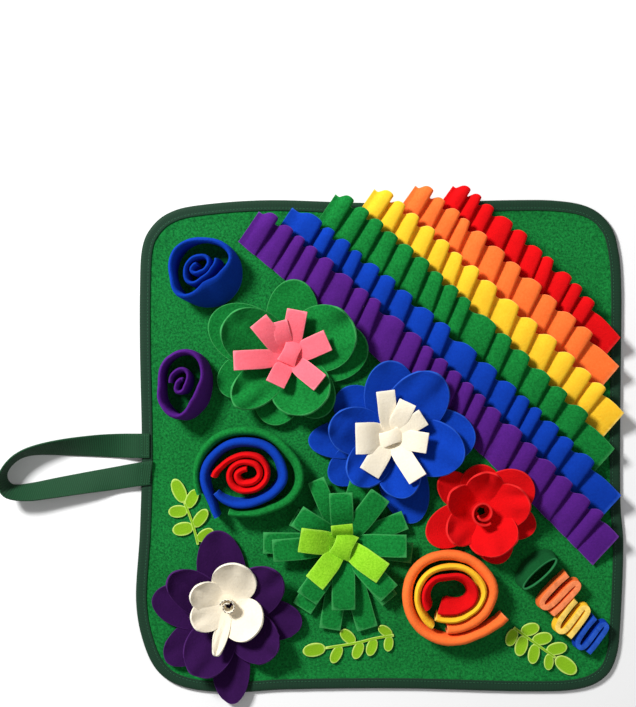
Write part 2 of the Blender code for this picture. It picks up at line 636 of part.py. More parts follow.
# ---------------------------------------------------------------- the mat
def build():
    for leftover in list(bpy.data.objects):
        bpy.data.objects.remove(leftover, do_unlink=True)
    add_ground()
    add_binding()
    add_handle()
    for row in RUFFLES:
        add_ruffle(*row)
    for name, centre, height, hub, colour, strips, rows in LAYERS:
        add_layer(name, centre, height, hub, rows, colour, strips)
    for name, centre, lean, height, thickness, colour, rows in ROLLS:
        add_roll(name, centre, lean, height, thickness, rows, colour)
    for row in POUCHES:
        add_pouch(*row)
    for row in FOLDS:
        add_fold(*row)
    for name, stem, tip_leaf, leaves in SPRAYS:
        add_spray(name, stem, tip_leaf, leaves, LIME)
    for row in HEARTS:
        add_heart(*row)


build()
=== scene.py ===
"""The snuffle mat as a photographer would set it up: the mat on a pale floor, seen from above.

Tables are in millimetres.  +X is the mat's right, +Y its top edge, +Z up.
"""
from math import cos, pi, radians, sin, sqrt

import bpy
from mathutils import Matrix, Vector, noise


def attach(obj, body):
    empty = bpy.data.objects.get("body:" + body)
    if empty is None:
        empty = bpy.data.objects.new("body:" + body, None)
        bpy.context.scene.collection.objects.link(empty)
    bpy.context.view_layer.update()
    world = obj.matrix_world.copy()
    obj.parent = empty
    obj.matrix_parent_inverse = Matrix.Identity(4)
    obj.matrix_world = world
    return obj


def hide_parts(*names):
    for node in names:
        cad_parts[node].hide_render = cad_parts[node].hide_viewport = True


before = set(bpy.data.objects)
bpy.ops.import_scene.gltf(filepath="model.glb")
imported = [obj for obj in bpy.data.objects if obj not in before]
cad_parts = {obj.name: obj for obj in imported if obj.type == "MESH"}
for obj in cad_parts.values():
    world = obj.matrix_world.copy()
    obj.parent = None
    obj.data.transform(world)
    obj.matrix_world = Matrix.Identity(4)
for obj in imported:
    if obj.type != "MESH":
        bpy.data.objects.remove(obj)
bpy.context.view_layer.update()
bpy.ops.object.select_all(action="DESELECT")

# ---------------- camera, floor and light
# A camera held level over the mat, a white sweep under it, and a softbox on the upper left with
# a weaker one opposite.
MM = 0.001
CAMERA_AT = (-63.9, 95.3, 1350.0)
FRAME_TALL = 728.2  # what the frame holds, top to bottom, at the floor
SENSOR = 36.0
FLOOR_SIDE = 6.0  # in m
SKY = 0.27  # how strongly the white room fills the shadows

bpy.ops.object.camera_add(location=[v * MM for v in CAMERA_AT], rotation=(0, 0, 0))
camera = bpy.context.object
camera.name = "overhead_camera"
camera.data.sensor_width = SENSOR
camera.data.lens = SENSOR * CAMERA_AT[2] / FRAME_TALL
camera.data.clip_start = 0.05
camera.data.clip_end = 20.0
bpy.context.scene.camera = camera

bpy.ops.mesh.primitive_plane_add(size=FLOOR_SIDE, location=(0, 0, 0))
floor = bpy.context.object
floor.name = "white_floor"


def linear(code):
    """An sRGB hex colour as linear RGBA."""
    channels = [int(code[k:k + 2], 16) / 255 for k in (1, 3, 5)]
    return (*[c / 12.92 if c <= 0.04045 else ((c + 0.055) / 1.055) ** 2.4
              for c in channels], 1.0)


def new_material(name, settings):
    """A node material with its shader's settings: the material, its tree and its shader."""
    material = bpy.data.materials.new(name)
    material.use_nodes = True
    shader = material.node_tree.nodes["Principled BSDF"]
    for key, value in settings.items():
        shader.inputs[key].default_value = value
    return material, material.node_tree, shader


# Matt white painted board: no gloss, it only takes the mat's shadow.
floor_paint, tree, shader = new_material("matt_white_board", {
    "Base Color": linear("#F6F6F6"), "Roughness": 0.9})
floor.data.materials.append(floor_paint)

# name, place, turned towards the mat's middle, side in m, power in W
SOFTBOXES = [
    ("key_softbox", (-1.3, 1.15, 1.5), 0.45, 68.0),
    ("fill_softbox", (1.5, -0.9, 1.9), 1.8, 5.0),
]
for name, place, side, power in SOFTBOXES:
    bpy.ops.object.light_add(type="AREA", location=place)
    lamp = bpy.context.object
    lamp.name = name
    lamp.data.size = side
    lamp.data.energy = power
    lamp.rotation_euler = (-Vector(place)).to_track_quat("-Z", "Y").to_euler()

world = bpy.data.worlds.new("studio_air")
world.use_nodes = True
world.node_tree.nodes["Background"].inputs["Color"].default_value = (1.0, 1.0, 1.0, 1.0)
world.node_tree.nodes["Background"].inputs["Strength"].default_value = SKY
bpy.context.scene.world = world
bpy.context.scene.view_settings.view_transform = "Standard"

# ---------------- the fleece ground
# One square of thick polyester fleece, brushed on both sides into a short curly nap.  It lies
# flat on the floor, a little uneven, and its edge is held inside the binding tape.
BIND_WIDTH = 11.0
OUTLINE = [
    (-247, 161), (-245, 202), (-236, 224), (-217, 240), (-185, 248), (-113, 253), (0, 250),
    (134, 253), (185, 252), (216, 245), (235, 229), (244, 206), (248, 161), (247, 47),
    (247, -56), (250, -102), (247, -179), (243, -215), (230, -238), (201, -250), (144, -252),
    (21, -249), (-93, -250), (-149, -253), (-196, -249), (-225, -235), (-242, -206),
    (-251, -159), (-247, -87), (-245, -4), (-247, 99),
]


def spline(values, position):
    """A smooth value between table rows; position counts in rows."""
    last = len(values) - 1
    row = min(max(int(position), 0), last - 1)
    t = position - row
    p0, p1, p2, p3 = (values[min(max(row + k, 0), last)] for k in (-1, 0, 1, 2))
    a = 2 * p1
    b = p2 - p0
    c = 2 * p0 - 5 * p1 + 4 * p2 - p3
    d = 3 * p1 - p0 - 3 * p2 + p3
    return 0.5 * (a + b * t + c * t * t + d * t * t * t)


def wander(place, size):
    """A smooth uneven value, about -1 to 1, that changes over the given size in mm."""
    return noise.noise(Vector((place[0] / size, place[1] / size, place[2] / size)))


AROUND = 8  # points from one of the outline's to the next


def outline_ring(inset):
    """The mat's outline as a ring of plan points, moved inward by the inset."""
    count = len(OUTLINE)
    wrapped = [Vector(OUTLINE[k % count]) for k in range(-1, count + 2)]
    ring = [spline(wrapped, 1 + k / AROUND) for k in range(count * AROUND)]
    moved = []
    for k, point in enumerate(ring):
        along = (ring[(k + 1) % len(ring)] - ring[k - 1]).normalized()
        moved.append(point + Vector((along.y, -along.x)) * inset)
    return moved


def new_piece(name, points, faces, material):
    """A mesh object with one material, in the scene."""
    mesh = bpy.data.meshes.new(name)
    mesh.from_pydata(points, [], faces)
    mesh.materials.append(material)
    piece = bpy.data.objects.new(name, mesh)
    bpy.context.scene.collection.objects.link(piece)
    return piece


NAP_LUMP = 2.6
SHARP = 55  # a corner of more degrees than this is rounded
SMOOTH_BELOW = 60  # and one of fewer than this is shaded smooth


def cloth(name, patches, thickness, material, smooth=0, fuzz=0.0, round_edge=0.5):
    """A cloth piece from patches of middle points, each a list of columns in mm.

    A patch is (columns, closed).  The cut edges carry the attribute cut_edge, 1 at the edge,
    and run_mm is the distance along the patch.
    """
    points = []
    faces = []
    edge_value = []
    run_value = []
    for columns, closed in patches:
        run = 0.0
        start = len(points)
        rows = len(columns[0])
        count = len(columns)
        for c, column in enumerate(columns):
            run += (Vector(column[0]) - Vector(columns[max(c - 1, 0)][0])).length
            for r, point in enumerate(column):
                points.append(Vector(point) * MM)
                run_value.append(run)
                border = r in (0, rows - 1) or (not closed and c in (0, count - 1))
                edge_value.append(1.0 if border else 0.0)
        for c in range(count if closed else count - 1):
            here = start + c * rows
            there = start + (c + 1) % count * rows
            for r in range(rows - 1):
                faces.append((here + r, there + r, there + r + 1, here + r + 1))
    piece = new_piece(name, points, faces, material)
    for key, values in (("cut_edge", edge_value), ("run_mm", run_value)):
        marks = piece.data.attributes.new(key, "FLOAT", "POINT")
        marks.data.foreach_set("value", values)
    if smooth:
        finer = piece.modifiers.new("Finer", "SUBSURF")
        finer.levels = smooth
        finer.render_levels = smooth
        finer.boundary_smooth = "PRESERVE_CORNERS"
    solid = piece.modifiers.new("Thickness", "SOLIDIFY")
    solid.thickness = thickness * MM
    solid.offset = 0.0
    if round_edge:
        soft = piece.modifiers.new("Soft edges", "BEVEL")
        soft.width = round_edge * MM
        soft.segments = 2
        soft.limit_method = "ANGLE"
        soft.angle_limit = radians(SHARP)
    if fuzz:
        lumps = bpy.data.textures.new(name + "_nap", "CLOUDS")
        lumps.noise_scale = NAP_LUMP * MM
        lumps.noise_depth = 1
        uneven = piece.modifiers.new("Nap", "DISPLACE")
        uneven.texture = lumps
        uneven.texture_coords = "LOCAL"
        uneven.strength = fuzz * MM
    bpy.ops.object.select_all(action="DESELECT")
    bpy.context.view_layer.objects.active = piece
    piece.select_set(True)
    for modifier in list(piece.modifiers):
        bpy.ops.object.modifier_apply(modifier=modifier.name)
    bpy.ops.object.shade_smooth_by_angle(angle=radians(SMOOTH_BELOW))
    piece.select_set(False)
    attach(piece, "root")
    return piece


def add_node(tree, kind, settings=None, links=None):
    """A node with its settings (attributes or socket values) and its incoming links."""
    node = tree.nodes.new(kind)
    for key, value in (settings or {}).items():
        if isinstance(key, str) and hasattr(node, key):
            setattr(node, key, value)
        else:
            node.inputs[key].default_value = value
    for key, socket in (links or {}).items():
        tree.links.new(socket, node.inputs[key])
    return node


NOISE_SPREAD = 0.11  # how far from its middle, 0.5, a noise value mostly stays
WORN_MM = 38  # size of the patches where the nap is a little worn
FIBRE_MM = 0.8  # the real fibres are 0.02 mm thick, drawn as coarse as they need to show
FIBRE_SHARE = 0.42


def fleece(name, nap, shade, cut, curl, nap_mm=2.4, rim=0.2, pale=0.45):
    """Polyester fleece: a matt brushed nap that curls into small clumps, paler where it is cut.

    curl is how strongly the clumps show, from 0 (shorn smooth) to 1 (curly); rim is how far in
    the cut edge looks pale, as a share of the outermost mesh cell, and pale how much.
    """
    material, tree, shader = new_material(name, {
        "Roughness": 0.95, "Specular IOR Level": 0.12, "Sheen Weight": 0.35,
        "Sheen Roughness": 0.45, "Sheen Tint": linear(nap)})
    place = add_node(tree, "ShaderNodeTexCoord").outputs["Object"]
    clumps = add_node(tree, "ShaderNodeTexNoise", {
        "Scale": 1 / (nap_mm * MM), "Detail": 3.0, "Roughness": 0.62}, {"Vector": place})
    patches = add_node(tree, "ShaderNodeTexNoise", {
        "Scale": 1 / (WORN_MM * MM), "Detail": 2.0}, {"Vector": place})
    fibres = add_node(tree, "ShaderNodeTexNoise", {
        "Scale": 1 / (FIBRE_MM * MM), "Detail": 2.0, "Roughness": 0.6}, {"Vector": place})
    grain = add_node(tree, "ShaderNodeMix", {"data_type": "FLOAT", 0: FIBRE_SHARE}, {
        2: clumps.outputs["Fac"], 3: fibres.outputs["Fac"]})
    spread = add_node(tree, "ShaderNodeMapRange", {
        "From Min": 0.5 - NOISE_SPREAD, "From Max": 0.5 + NOISE_SPREAD,
        "To Min": 0.5 - 0.5 * curl, "To Max": 0.5 + 0.5 * curl},
        {"Value": grain.outputs[0]})
    # The clumps' low parts take the shade colour and their tops the nap colour, both following the
    # bump's heights: painted shade between the clumps.
    tone = add_node(tree, "ShaderNodeMix", {
        "data_type": "RGBA", 6: linear(shade), 7: linear(nap)},
        {0: spread.outputs["Result"]})
    worn = add_node(tree, "ShaderNodeMapRange", {
        "From Min": 0.35, "From Max": 0.65, "To Min": 0.93, "To Max": 1.05},
        {"Value": patches.outputs["Fac"]})
    uneven = add_node(tree, "ShaderNodeVectorMath", {"operation": "SCALE"}, {
        0: tone.outputs[2], "Scale": worn.outputs["Result"]})
    edge = add_node(tree, "ShaderNodeAttribute", {"attribute_name": "cut_edge"})
    edge_share = add_node(tree, "ShaderNodeMapRange", {
        "From Min": 1.0 - rim, "From Max": 1.0, "To Min": 0.0, "To Max": pale},
        {"Value": edge.outputs["Fac"]})
    colour = add_node(tree, "ShaderNodeMix", {"data_type": "RGBA", 7: linear(cut)}, {
        0: edge_share.outputs["Result"], 6: uneven.outputs["Vector"]})
    bump = add_node(tree, "ShaderNodeBump", {
        "Strength": 0.5 + 0.5 * curl, "Distance": 1.0 * MM},
        {"Height": grain.outputs[0]})
    tree.links.new(colour.outputs[2], shader.inputs["Base Color"])
    tree.links.new(bump.outputs["Normal"], shader.inputs["Normal"])
    return material


# Mid green, brushed long enough to curl: pale flecks on a deeper ground.
ground_fleece = fleece("curly_mid_green_fleece", "#19883B", "#085524", "#2B8E4A", 1.0)
RINGS = 64
PANEL_CLOTH = 2.5
ON_FLOOR = 0.12
HELD = 4.0  # width of the fleece inside the folded tape
OVER_TAPE = (1.25, 1.25, 0.95, 0.3)  # how far the outer rings ride up on the tape
SWELLS = ((0.25, 46), (0.1, 13))  # height and width of the ground's soft swells
RING_PLACES = 0.9  # below 1, the rings lie closer together at the edge
columns = []
for point in outline_ring(BIND_WIDTH - HELD):
    column = []
    for ring in range(RINGS):
        place = point * (1 - ring / RINGS) ** RING_PLACES
        swell = sum(high * wander((*place, 0), wide) for high, wide in SWELLS)
        rise = OVER_TAPE[ring] if ring < len(OVER_TAPE) else abs(swell)
        column.append((*place, PANEL_CLOTH / 2 + ON_FLOOR + rise))
    columns.append(column)
mat_ground = cloth("fleece_ground", [(columns, True)], PANEL_CLOTH, ground_fleece,
                   round_edge=0, fuzz=0.2)
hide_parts("mat_panel")

# ---------------- the binding tape
# A 28 mm polyester tape folded over the raw edge and sewn through all layers with one row of
# lockstitch near its inner edge.  It is a close, smooth weave, so it looks darker than fleece.
TAPE = 1.0
TAPE_PROFILE = [  # inset from the mat's outline, height of the tape's middle
    (11.0, 4.55), (9.5, 4.7), (8.4, 4.5), (6.0, 4.85), (3.5, 4.9), (1.6, 4.65),
    (0.7, 3.7), (0.5, 2.65), (0.7, 1.6), (1.6, 0.65), (3.5, 0.5), (11.0, 0.5),
]
TAPE_MIDDLE = 2.65  # above this the tape is its upper face, which puckers
PUCKER = 0.3
PUCKER_SIZE = 9
STITCH_INSET = 8.5
STITCH_HEIGHT = 5.15
STITCH_PITCH = 3.6
STITCH_SIDES = 4
STITCH_FORM = [(0.0, 0.3), (0.18, 1.0), (0.55, 1.0), (0.72, 0.3)]  # share of the pitch, width
THREAD = 0.6


YARN_MM = 0.9  # the real ones are 0.3 mm, drawn as coarse as they need to show
PLY_MM = 0.7  # the real ones, in sewing thread, are 0.2 mm, drawn coarser in the same way


def woven_tape(name, colour, dark, rib_mm, depth):
    """A woven tape or webbing: ribs across its length and a fine grain of yarns."""
    material, tree, shader = new_material(name, {
        "Roughness": 0.72, "Specular IOR Level": 0.25, "Sheen Weight": 0.08})
    place = add_node(tree, "ShaderNodeTexCoord").outputs["Object"]
    run = add_node(tree, "ShaderNodeAttribute", {"attribute_name": "run_mm"}).outputs["Fac"]
    grain = add_node(tree, "ShaderNodeTexNoise", {
        "Scale": 1 / (YARN_MM * MM), "Detail": 2.0}, {"Vector": place}).outputs["Fac"]
    turn = add_node(tree, "ShaderNodeMath", {
        "operation": "MULTIPLY", 1: 2 * pi / rib_mm}, {0: run}).outputs["Value"]
    rib = add_node(tree, "ShaderNodeMath", {"operation": "SINE"}, {0: turn}).outputs["Value"]
    height = add_node(tree, "ShaderNodeMath", {
        "operation": "MULTIPLY_ADD", 1: 0.5}, {0: rib, 2: grain}).outputs["Value"]
    # Where the ribs lie low they take the dark colour: painted shade in the grooves between the
    # ribs. The yarn grain adds an uneven tone of its own.
    tone = add_node(tree, "ShaderNodeMapRange", {
        "From Min": -0.2, "From Max": 1.2}, {"Value": height}).outputs["Result"]
    shade = add_node(tree, "ShaderNodeMix", {
        "data_type": "RGBA", 6: linear(dark), 7: linear(colour)}, {0: tone}).outputs[2]
    bump = add_node(tree, "ShaderNodeBump", {
        "Strength": depth, "Distance": 0.3 * MM}, {"Height": height}).outputs["Normal"]
    tree.links.new(shade, shader.inputs["Base Color"])
    tree.links.new(bump, shader.inputs["Normal"])
    return material


def stitch_row(name, path, pitch, width, material, closed=False):
    """Sewing thread lying along a path of points in mm: one short rounded bar for each stitch."""
    points = []
    faces = []
    travelled = 0.0
    next_start = 0.0
    for k in range(len(path) if closed else len(path) - 1):
        a = Vector(path[k])
        b = Vector(path[(k + 1) % len(path)])
        span = (b - a).length
        while next_start < travelled + span:
            along = (b - a).normalized()
            side = along.cross(Vector((0, 0, 1))).normalized()
            start = a + along * (next_start - travelled)
            base = len(points)
            for share, size in STITCH_FORM:
                middle = start + along * (pitch * share)
                for corner in range(STITCH_SIDES):
                    turn = radians(corner * 360 / STITCH_SIDES)
                    offset = side * cos(turn) + Vector((0, 0, sin(turn)))
                    points.append((middle + offset * (width / 2 * size)) * MM)
            for here in range(base, len(points) - STITCH_SIDES, STITCH_SIDES):
                for corner in range(STITCH_SIDES):
                    after = (corner + 1) % STITCH_SIDES
                    faces.append((here + corner, here + after,
                                  here + STITCH_SIDES + after, here + STITCH_SIDES + corner))
            faces.append(range(base, base + STITCH_SIDES)[::-1])
            faces.append(range(len(points) - STITCH_SIDES, len(points)))
            next_start += pitch
        travelled += span
    row = new_piece(name, points, faces, material)
    row.data.shade_smooth()
    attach(row, "root")
    return row


binding_weave = woven_tape("dark_green_polyester_tape", "#0E3B23", "#062617", 1.6, 0.25)
columns = []
rings = [outline_ring(inset) for inset, height in TAPE_PROFILE]
for k in range(len(rings[0])):
    column = []
    for (inset, height), ring in zip(TAPE_PROFILE, rings):
        pucker = PUCKER * abs(wander((*ring[k], 0), PUCKER_SIZE)) * (height > TAPE_MIDDLE)
        column.append((*ring[k], height + pucker))
    columns.append(column)
binding = cloth("binding_tape_edge", [(columns, True)], TAPE, binding_weave, round_edge=0.25)
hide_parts("edge_binding")


def spun_thread(name, colour, dark):
    """Spun polyester thread: a satin fibre, a little darker where its plies lie in shade."""
    material, tree, shader = new_material(name, {"Roughness": 0.55})
    place = add_node(tree, "ShaderNodeTexCoord").outputs["Object"]
    plies = add_node(tree, "ShaderNodeTexNoise", {
        "Scale": 1 / (PLY_MM * MM), "Detail": 1.0}, {"Vector": place}).outputs["Fac"]
    shade = add_node(tree, "ShaderNodeMix", {
        "data_type": "RGBA", 6: linear(dark), 7: linear(colour)}, {0: plies}).outputs[2]
    tree.links.new(shade, shader.inputs["Base Color"])
    return material


sewing_thread = spun_thread("green_sewing_thread", "#26704A", "#124026")
seam = [(*point, STITCH_HEIGHT) for point in outline_ring(STITCH_INSET)]
binding_stitches = stitch_row("binding_stitches", seam, STITCH_PITCH, THREAD, sewing_thread,
                              closed=True)

# ---------------- the webbing handle
# One length of 25 mm polyester webbing, folded into a loop.  Its two ends lie side by side on
# the binding, each sewn down with a stitched box; the far bend stands up on its edge.
HANDLE_WIDTH = 25.0
WEBBING = 1.8
GAP = 0.35  # between two pieces that lie on each other
BIND_HEIGHT = 5.3
ON_BINDING = BIND_HEIGHT + GAP
FLOOR_CLEAR = 0.05
HANDLE = [  # inner edge x, y, heading of the width, lean from flat, height
    (-236.5, -11.8, 90, 0, ON_BINDING), (-246.0, -11.8, 90, 0, ON_BINDING),
    (-251.0, -11.8, 90, 0, ON_BINDING - 0.4), (-260.6, -11.8, 90, 4, 2.4),
    (-273.0, -11.6, 92, 12, 0.2), (-296.6, -10.3, 92, 30, 0), (-320.3, -9.3, 94, 45, 0),
    (-342.0, -8.5, 100, 60, 0), (-358.4, -9.1, 112, 72, 0), (-370.8, -12.9, 132, 80, 0),
    (-380.0, -20.6, 155, 84, 0), (-384.2, -28.8, 180, 84, 0), (-382.1, -36.4, 215, 76, 0),
    (-374.9, -40.2, 248, 62, 0), (-356.4, -37.8, 261, 48, 0), (-332.7, -32.8, 260, 38, 0),
    (-296.6, -25.8, 258, 27, 0), (-273.0, -21.4, 258, 13, 0.2), (-260.6, -18.9, 260, 5, 2.4),
    (-251.0, -17.0, 262, 0, ON_BINDING - 0.4), (-246.0, -16.2, 262, 0, ON_BINDING),
    (-233.0, -14.6, 262, 0, ON_BINDING),
]
HANDLE_STEPS = 4
HANDLE_ACROSS = 9


def polar(angle, radius):
    """A plan vector from an angle in degrees."""
    return Vector((radius * cos(radians(angle)), radius * sin(radians(angle))))


# Coarser than the tape, so that its ribs show as fine bars.
handle_weave = woven_tape("dark_green_ribbed_webbing", "#0F4A28", "#063018", 2.2, 0.5)
columns = []
for step in range((len(HANDLE) - 1) * HANDLE_STEPS + 1):
    position = step / HANDLE_STEPS
    x, y, heading, lean, height = (spline([row[k] for row in HANDLE], position)
                                   for k in range(5))
    inner = Vector((x, y, max(height, 0.0) + WEBBING / 2 + FLOOR_CLEAR))
    flat = polar(heading, cos(radians(lean)) * HANDLE_WIDTH)
    width = Vector((flat.x, flat.y, sin(radians(lean)) * HANDLE_WIDTH))
    columns.append([inner + width * (r / (HANDLE_ACROSS - 1)) for r in range(HANDLE_ACROSS)])
handle = cloth("webbing_loop", [(columns, False)], WEBBING, handle_weave, round_edge=0.4)
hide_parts("handle_webbing")
BOX_INSET = 2.4
BOX_PITCH = 2.8
# name, which way the webbing lies from its inner edge, left, right, inner edge
BOXES = [
    ("upper_box_stitches", 1, -244.5, -238.5, -11.8),
    ("lower_box_stitches", -1, -244.5, -236.0, -15.6),
]
box_height = ON_BINDING + WEBBING + FLOOR_CLEAR + THREAD / 3
for name, side, left, right, inner_edge in BOXES:
    near = inner_edge + side * BOX_INSET
    far = inner_edge + side * (HANDLE_WIDTH - BOX_INSET)
    corners = [(left, near), (right, near), (right, far), (left, far)]
    box_path = [(x, y, box_height) for x, y in corners]
    row = stitch_row(name, box_path, BOX_PITCH, THREAD, sewing_thread, closed=True)

# ---------------- the six ruffles
# Fleece strips laid in knife pleats and sewn down along their lower left edge, each seam hidden
# by the next strip.  The free edge is cut and stands off the mat, so the pleats open towards it.
FLEECE = 2.5
PANEL_THICK = 3.0
GROUND = PANEL_THICK + GAP  # where whatever is sewn on begins
ROW_ANGLE = -43.3
RUFFLE_REACH = 39.0
NOTCH = 2.5  # how far the free edge is drawn back between two pleats
RUFFLE_ROWS = 15
RUFFLE_CLOTH = 2.0
SEAM_LEAN = 0.3  # how the pleats lean at a strip's ends, as a share of its lean
MIDDLE_LEAN = 0.95  # and how much more they do in its middle
CURL_FROM = 0.82  # share of the reach where the free edge begins to curl down
CURL_DOWN = 2.2
END_LIFT = 0.7  # the first pleat rides up on the binding
END_LENGTH = 25
PLEAT_SIZE = 0.93
SIZE_SPREAD = 0.22
WIDE_PLEAT = 15  # a pleat narrower than this stands lower
PLEAT_FAN = 5.0
BIG_LUMP = 17
SMALL_LUMP = 6
RUFFLE_SECTION = [  # share of the reach, low line, height of a pleat, throw of its crest
    (0.0, GROUND + FLEECE / 2 + 0.5, 2.2, -0.5), (0.5, 11.3, 6.6, 1.8), (1.0, 17.4, 11.4, 7.5),
]
PLEAT_PATH = [  # along one knife pleat, how high, both as shares
    (0.0, 0.0), (0.14, -0.03), (0.28, 0.0), (0.38, 0.24), (0.47, 0.6), (0.58, 0.88),
    (0.74, 1.0), (0.9, 1.0), (0.99, 0.93), (1.04, 0.74), (1.03, 0.5), (0.98, 0.26),
    (0.97, 0.08),
]
TAIL_PATH = [(0.12, 0.0), (0.22, 0.1), (0.36, 0.3), (0.6, 0.34), (1.0, 0.3)]
# Shorn fleece has an even matt colour.  The curly green one looks flecked, light on dark.
fleeces = {
    "purple_fleece": fleece("shorn_purple_fleece", "#5A2088", "#401466", "#884EB4", 0.35),
    "blue_fleece": fleece("shorn_royal_blue_fleece", "#0A42B6", "#052E92", "#3A70DC", 0.35),
    "leaf_green_fleece": fleece("curly_leaf_green_fleece", "#178A3A", "#085F24", "#58B86C", 0.8),
    "yellow_fleece": fleece("shorn_yellow_fleece", "#FFD238", "#FCB61C", "#FFEA92", 0.35),
    "orange_fleece": fleece("shorn_orange_fleece", "#FF8240", "#FA6420", "#FFAA78", 0.35),
    "red_fleece": fleece("shorn_red_fleece", "#E80C12", "#C4050A", "#F43A36", 0.35),
}

# node, along at start and end, seam offset at start and end, bow, lean, cut length, slot, the
# crests' places along
RUFFLES = [
    ("purple", -250, 242, 53, 61, 8.0, 15, 0.76, "purple_fleece", [
        -229, -207, -190, -171, -149, -121, -103, -81, -52, -28, -9, 9, 27, 44, 60, 82, 110, 130,
        154, 177, 201, 217]),
    ("blue", -228, 215, 79, 93, 6.5, 15, 0.69, "blue_fleece", [
        -192, -173, -152, -133, -112, -89, -63, -36, -12, 22, 50, 74, 93, 108, 130, 150, 176]),
    ("green", -205, 178, 119, 123, 6.0, 16, 0.59, "leaf_green_fleece", [
        -184, -163, -142, -120, -98, -74, -52, -34, -16, 18, 40, 65, 91, 113, 139]),
    ("yellow", -180, 160, 150, 156, 2.5, 16, 0.52, "yellow_fleece", [
        -160, -138, -116, -94, -73, -51, -32, -4, 24, 48, 73, 93, 115, 132]),
    ("orange", -152, 124, 181, 187, 2.0, 16, 0.42, "orange_fleece", [
        -131, -111, -92, -73, -51, -25, -3, 22, 45, 67, 88]),
    ("red", -124, 105, 207, 209, 6.0, 16, 0.35, "red_fleece", [
        -104, -87, -69, -42, -20, 1, 20, 37, 52, 68]),
]


def pleat_stations(crests, end, seed):
    """Places along a ruffle, height shares and how far each pleat leans off the square."""
    stations = []
    here = 0.0
    for pleat, crest in enumerate(crests):
        size = PLEAT_SIZE + SIZE_SPREAD * wander((pleat * 5.1, seed, 9), 4)
        size = min(size, 1.0) * min((crest - here) / WIDE_PLEAT, 1.0) ** 0.5
        fan = PLEAT_FAN * wander((pleat * 3.7, seed, 4), 4)
        for share, height in PLEAT_PATH:
            stations.append((here + share * (crest - here), height * size, fan * share))
        here = crest
    for share, height in TAIL_PATH:
        stations.append((here + share * (end - here), height, 0.0))
    return stations


for seed, (name, start, end, seam_start, seam_end, bow, lean, cut_length, slot,
           crests) in enumerate(RUFFLES):
    along = polar(ROW_ANGLE, 1.0)
    across = polar(ROW_ANGLE + 90, 1.0)
    length = end - start
    columns = []
    crests = [crest - start for crest in crests]
    for distance, height, fan in pleat_stations(crests, length, seed * 3.7):
        share = distance / length
        arch = 4 * share * (1 - share)
        seam_at = seam_start + (seam_end - seam_start) * share + bow * arch
        column = []
        for r in range(RUFFLE_ROWS):
            reach = r / (RUFFLE_ROWS - 1)
            low, rise, throw = (spline([row[k] for row in RUFFLE_SECTION], reach * 2)
                                for k in (1, 2, 3))
            low += END_LIFT * max(1 - distance / END_LENGTH, 0.0)
            leaning = lean * (SEAM_LEAN + MIDDLE_LEAN * arch) - fan
            place = along * (start + distance - leaning * reach)
            place += across * (seam_at + (RUFFLE_REACH - NOTCH * reach) * reach + throw * height)
            lump = wander((*place, seed * 9), BIG_LUMP) * reach ** 2
            lump += wander((*place, seed * 5), SMALL_LUMP) * 0.5 * reach
            curl = CURL_DOWN * height * max(reach - CURL_FROM, 0.0) / (1 - CURL_FROM)
            column.append((*place, low + rise * height + lump - curl))
        columns.append(column)
    ruffle = cloth(name + "_pleated_strip", [(columns, False)], RUFFLE_CLOTH, fleeces[slot],
                   fuzz=0.3, smooth=1)
    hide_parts("ruffle_" + name)

# ---------------- the petalled flowers
# Round petals cut from fleece, laid in two layers and sewn down through their middle.  Their
# sides are drawn up by the stitches, so each petal is a shallow cup with its cut edge showing.
LOW = GROUND + FLEECE / 2
SECOND = LOW + FLEECE + GAP + 0.4
THIRD = SECOND + FLEECE + GAP + 1.6
CREAM_HEIGHT = THIRD + 2.0
PETAL_CURVE = 1.3
PETAL_ALONG = 15
PETAL_ACROSS = 13
PETAL_CLOTH = 2.2
PETAL_ROOT = 0.3  # where a petal begins, as a share of the hub's radius
CUP = 2.4  # how far a petal's sides stand up
RIM_FROM = 0.7  # share of a petal's radius where its rim begins
RIPPLES = (6.2, 0.11, 1.6)  # how fast a ripple turns across the petal, by its angle and along it
DENT = 1.8
DENT_SIZE = 15
LAID = 0.06  # from one petal of a layer to the next
fleeces |= {
    "dark_purple_fleece": fleece("shorn_dark_purple_fleece", "#38104E", "#260A38", "#5A2C76", 0.3),
    "cream_fleece": fleece("shorn_cream_fleece", "#F6EDDA", "#EBDEC4", "#FFFAEC", 0.3),
}

GREEN_FLOWER = (-94.0, 91.0)
BLUE_FLOWER = (10.0, 10.0)
ROSE = (103.0, -66.0)
PURPLE_FLOWER = (-156.0, -175.0)
CREAM_FLOWER = (-155.0, -161.0)

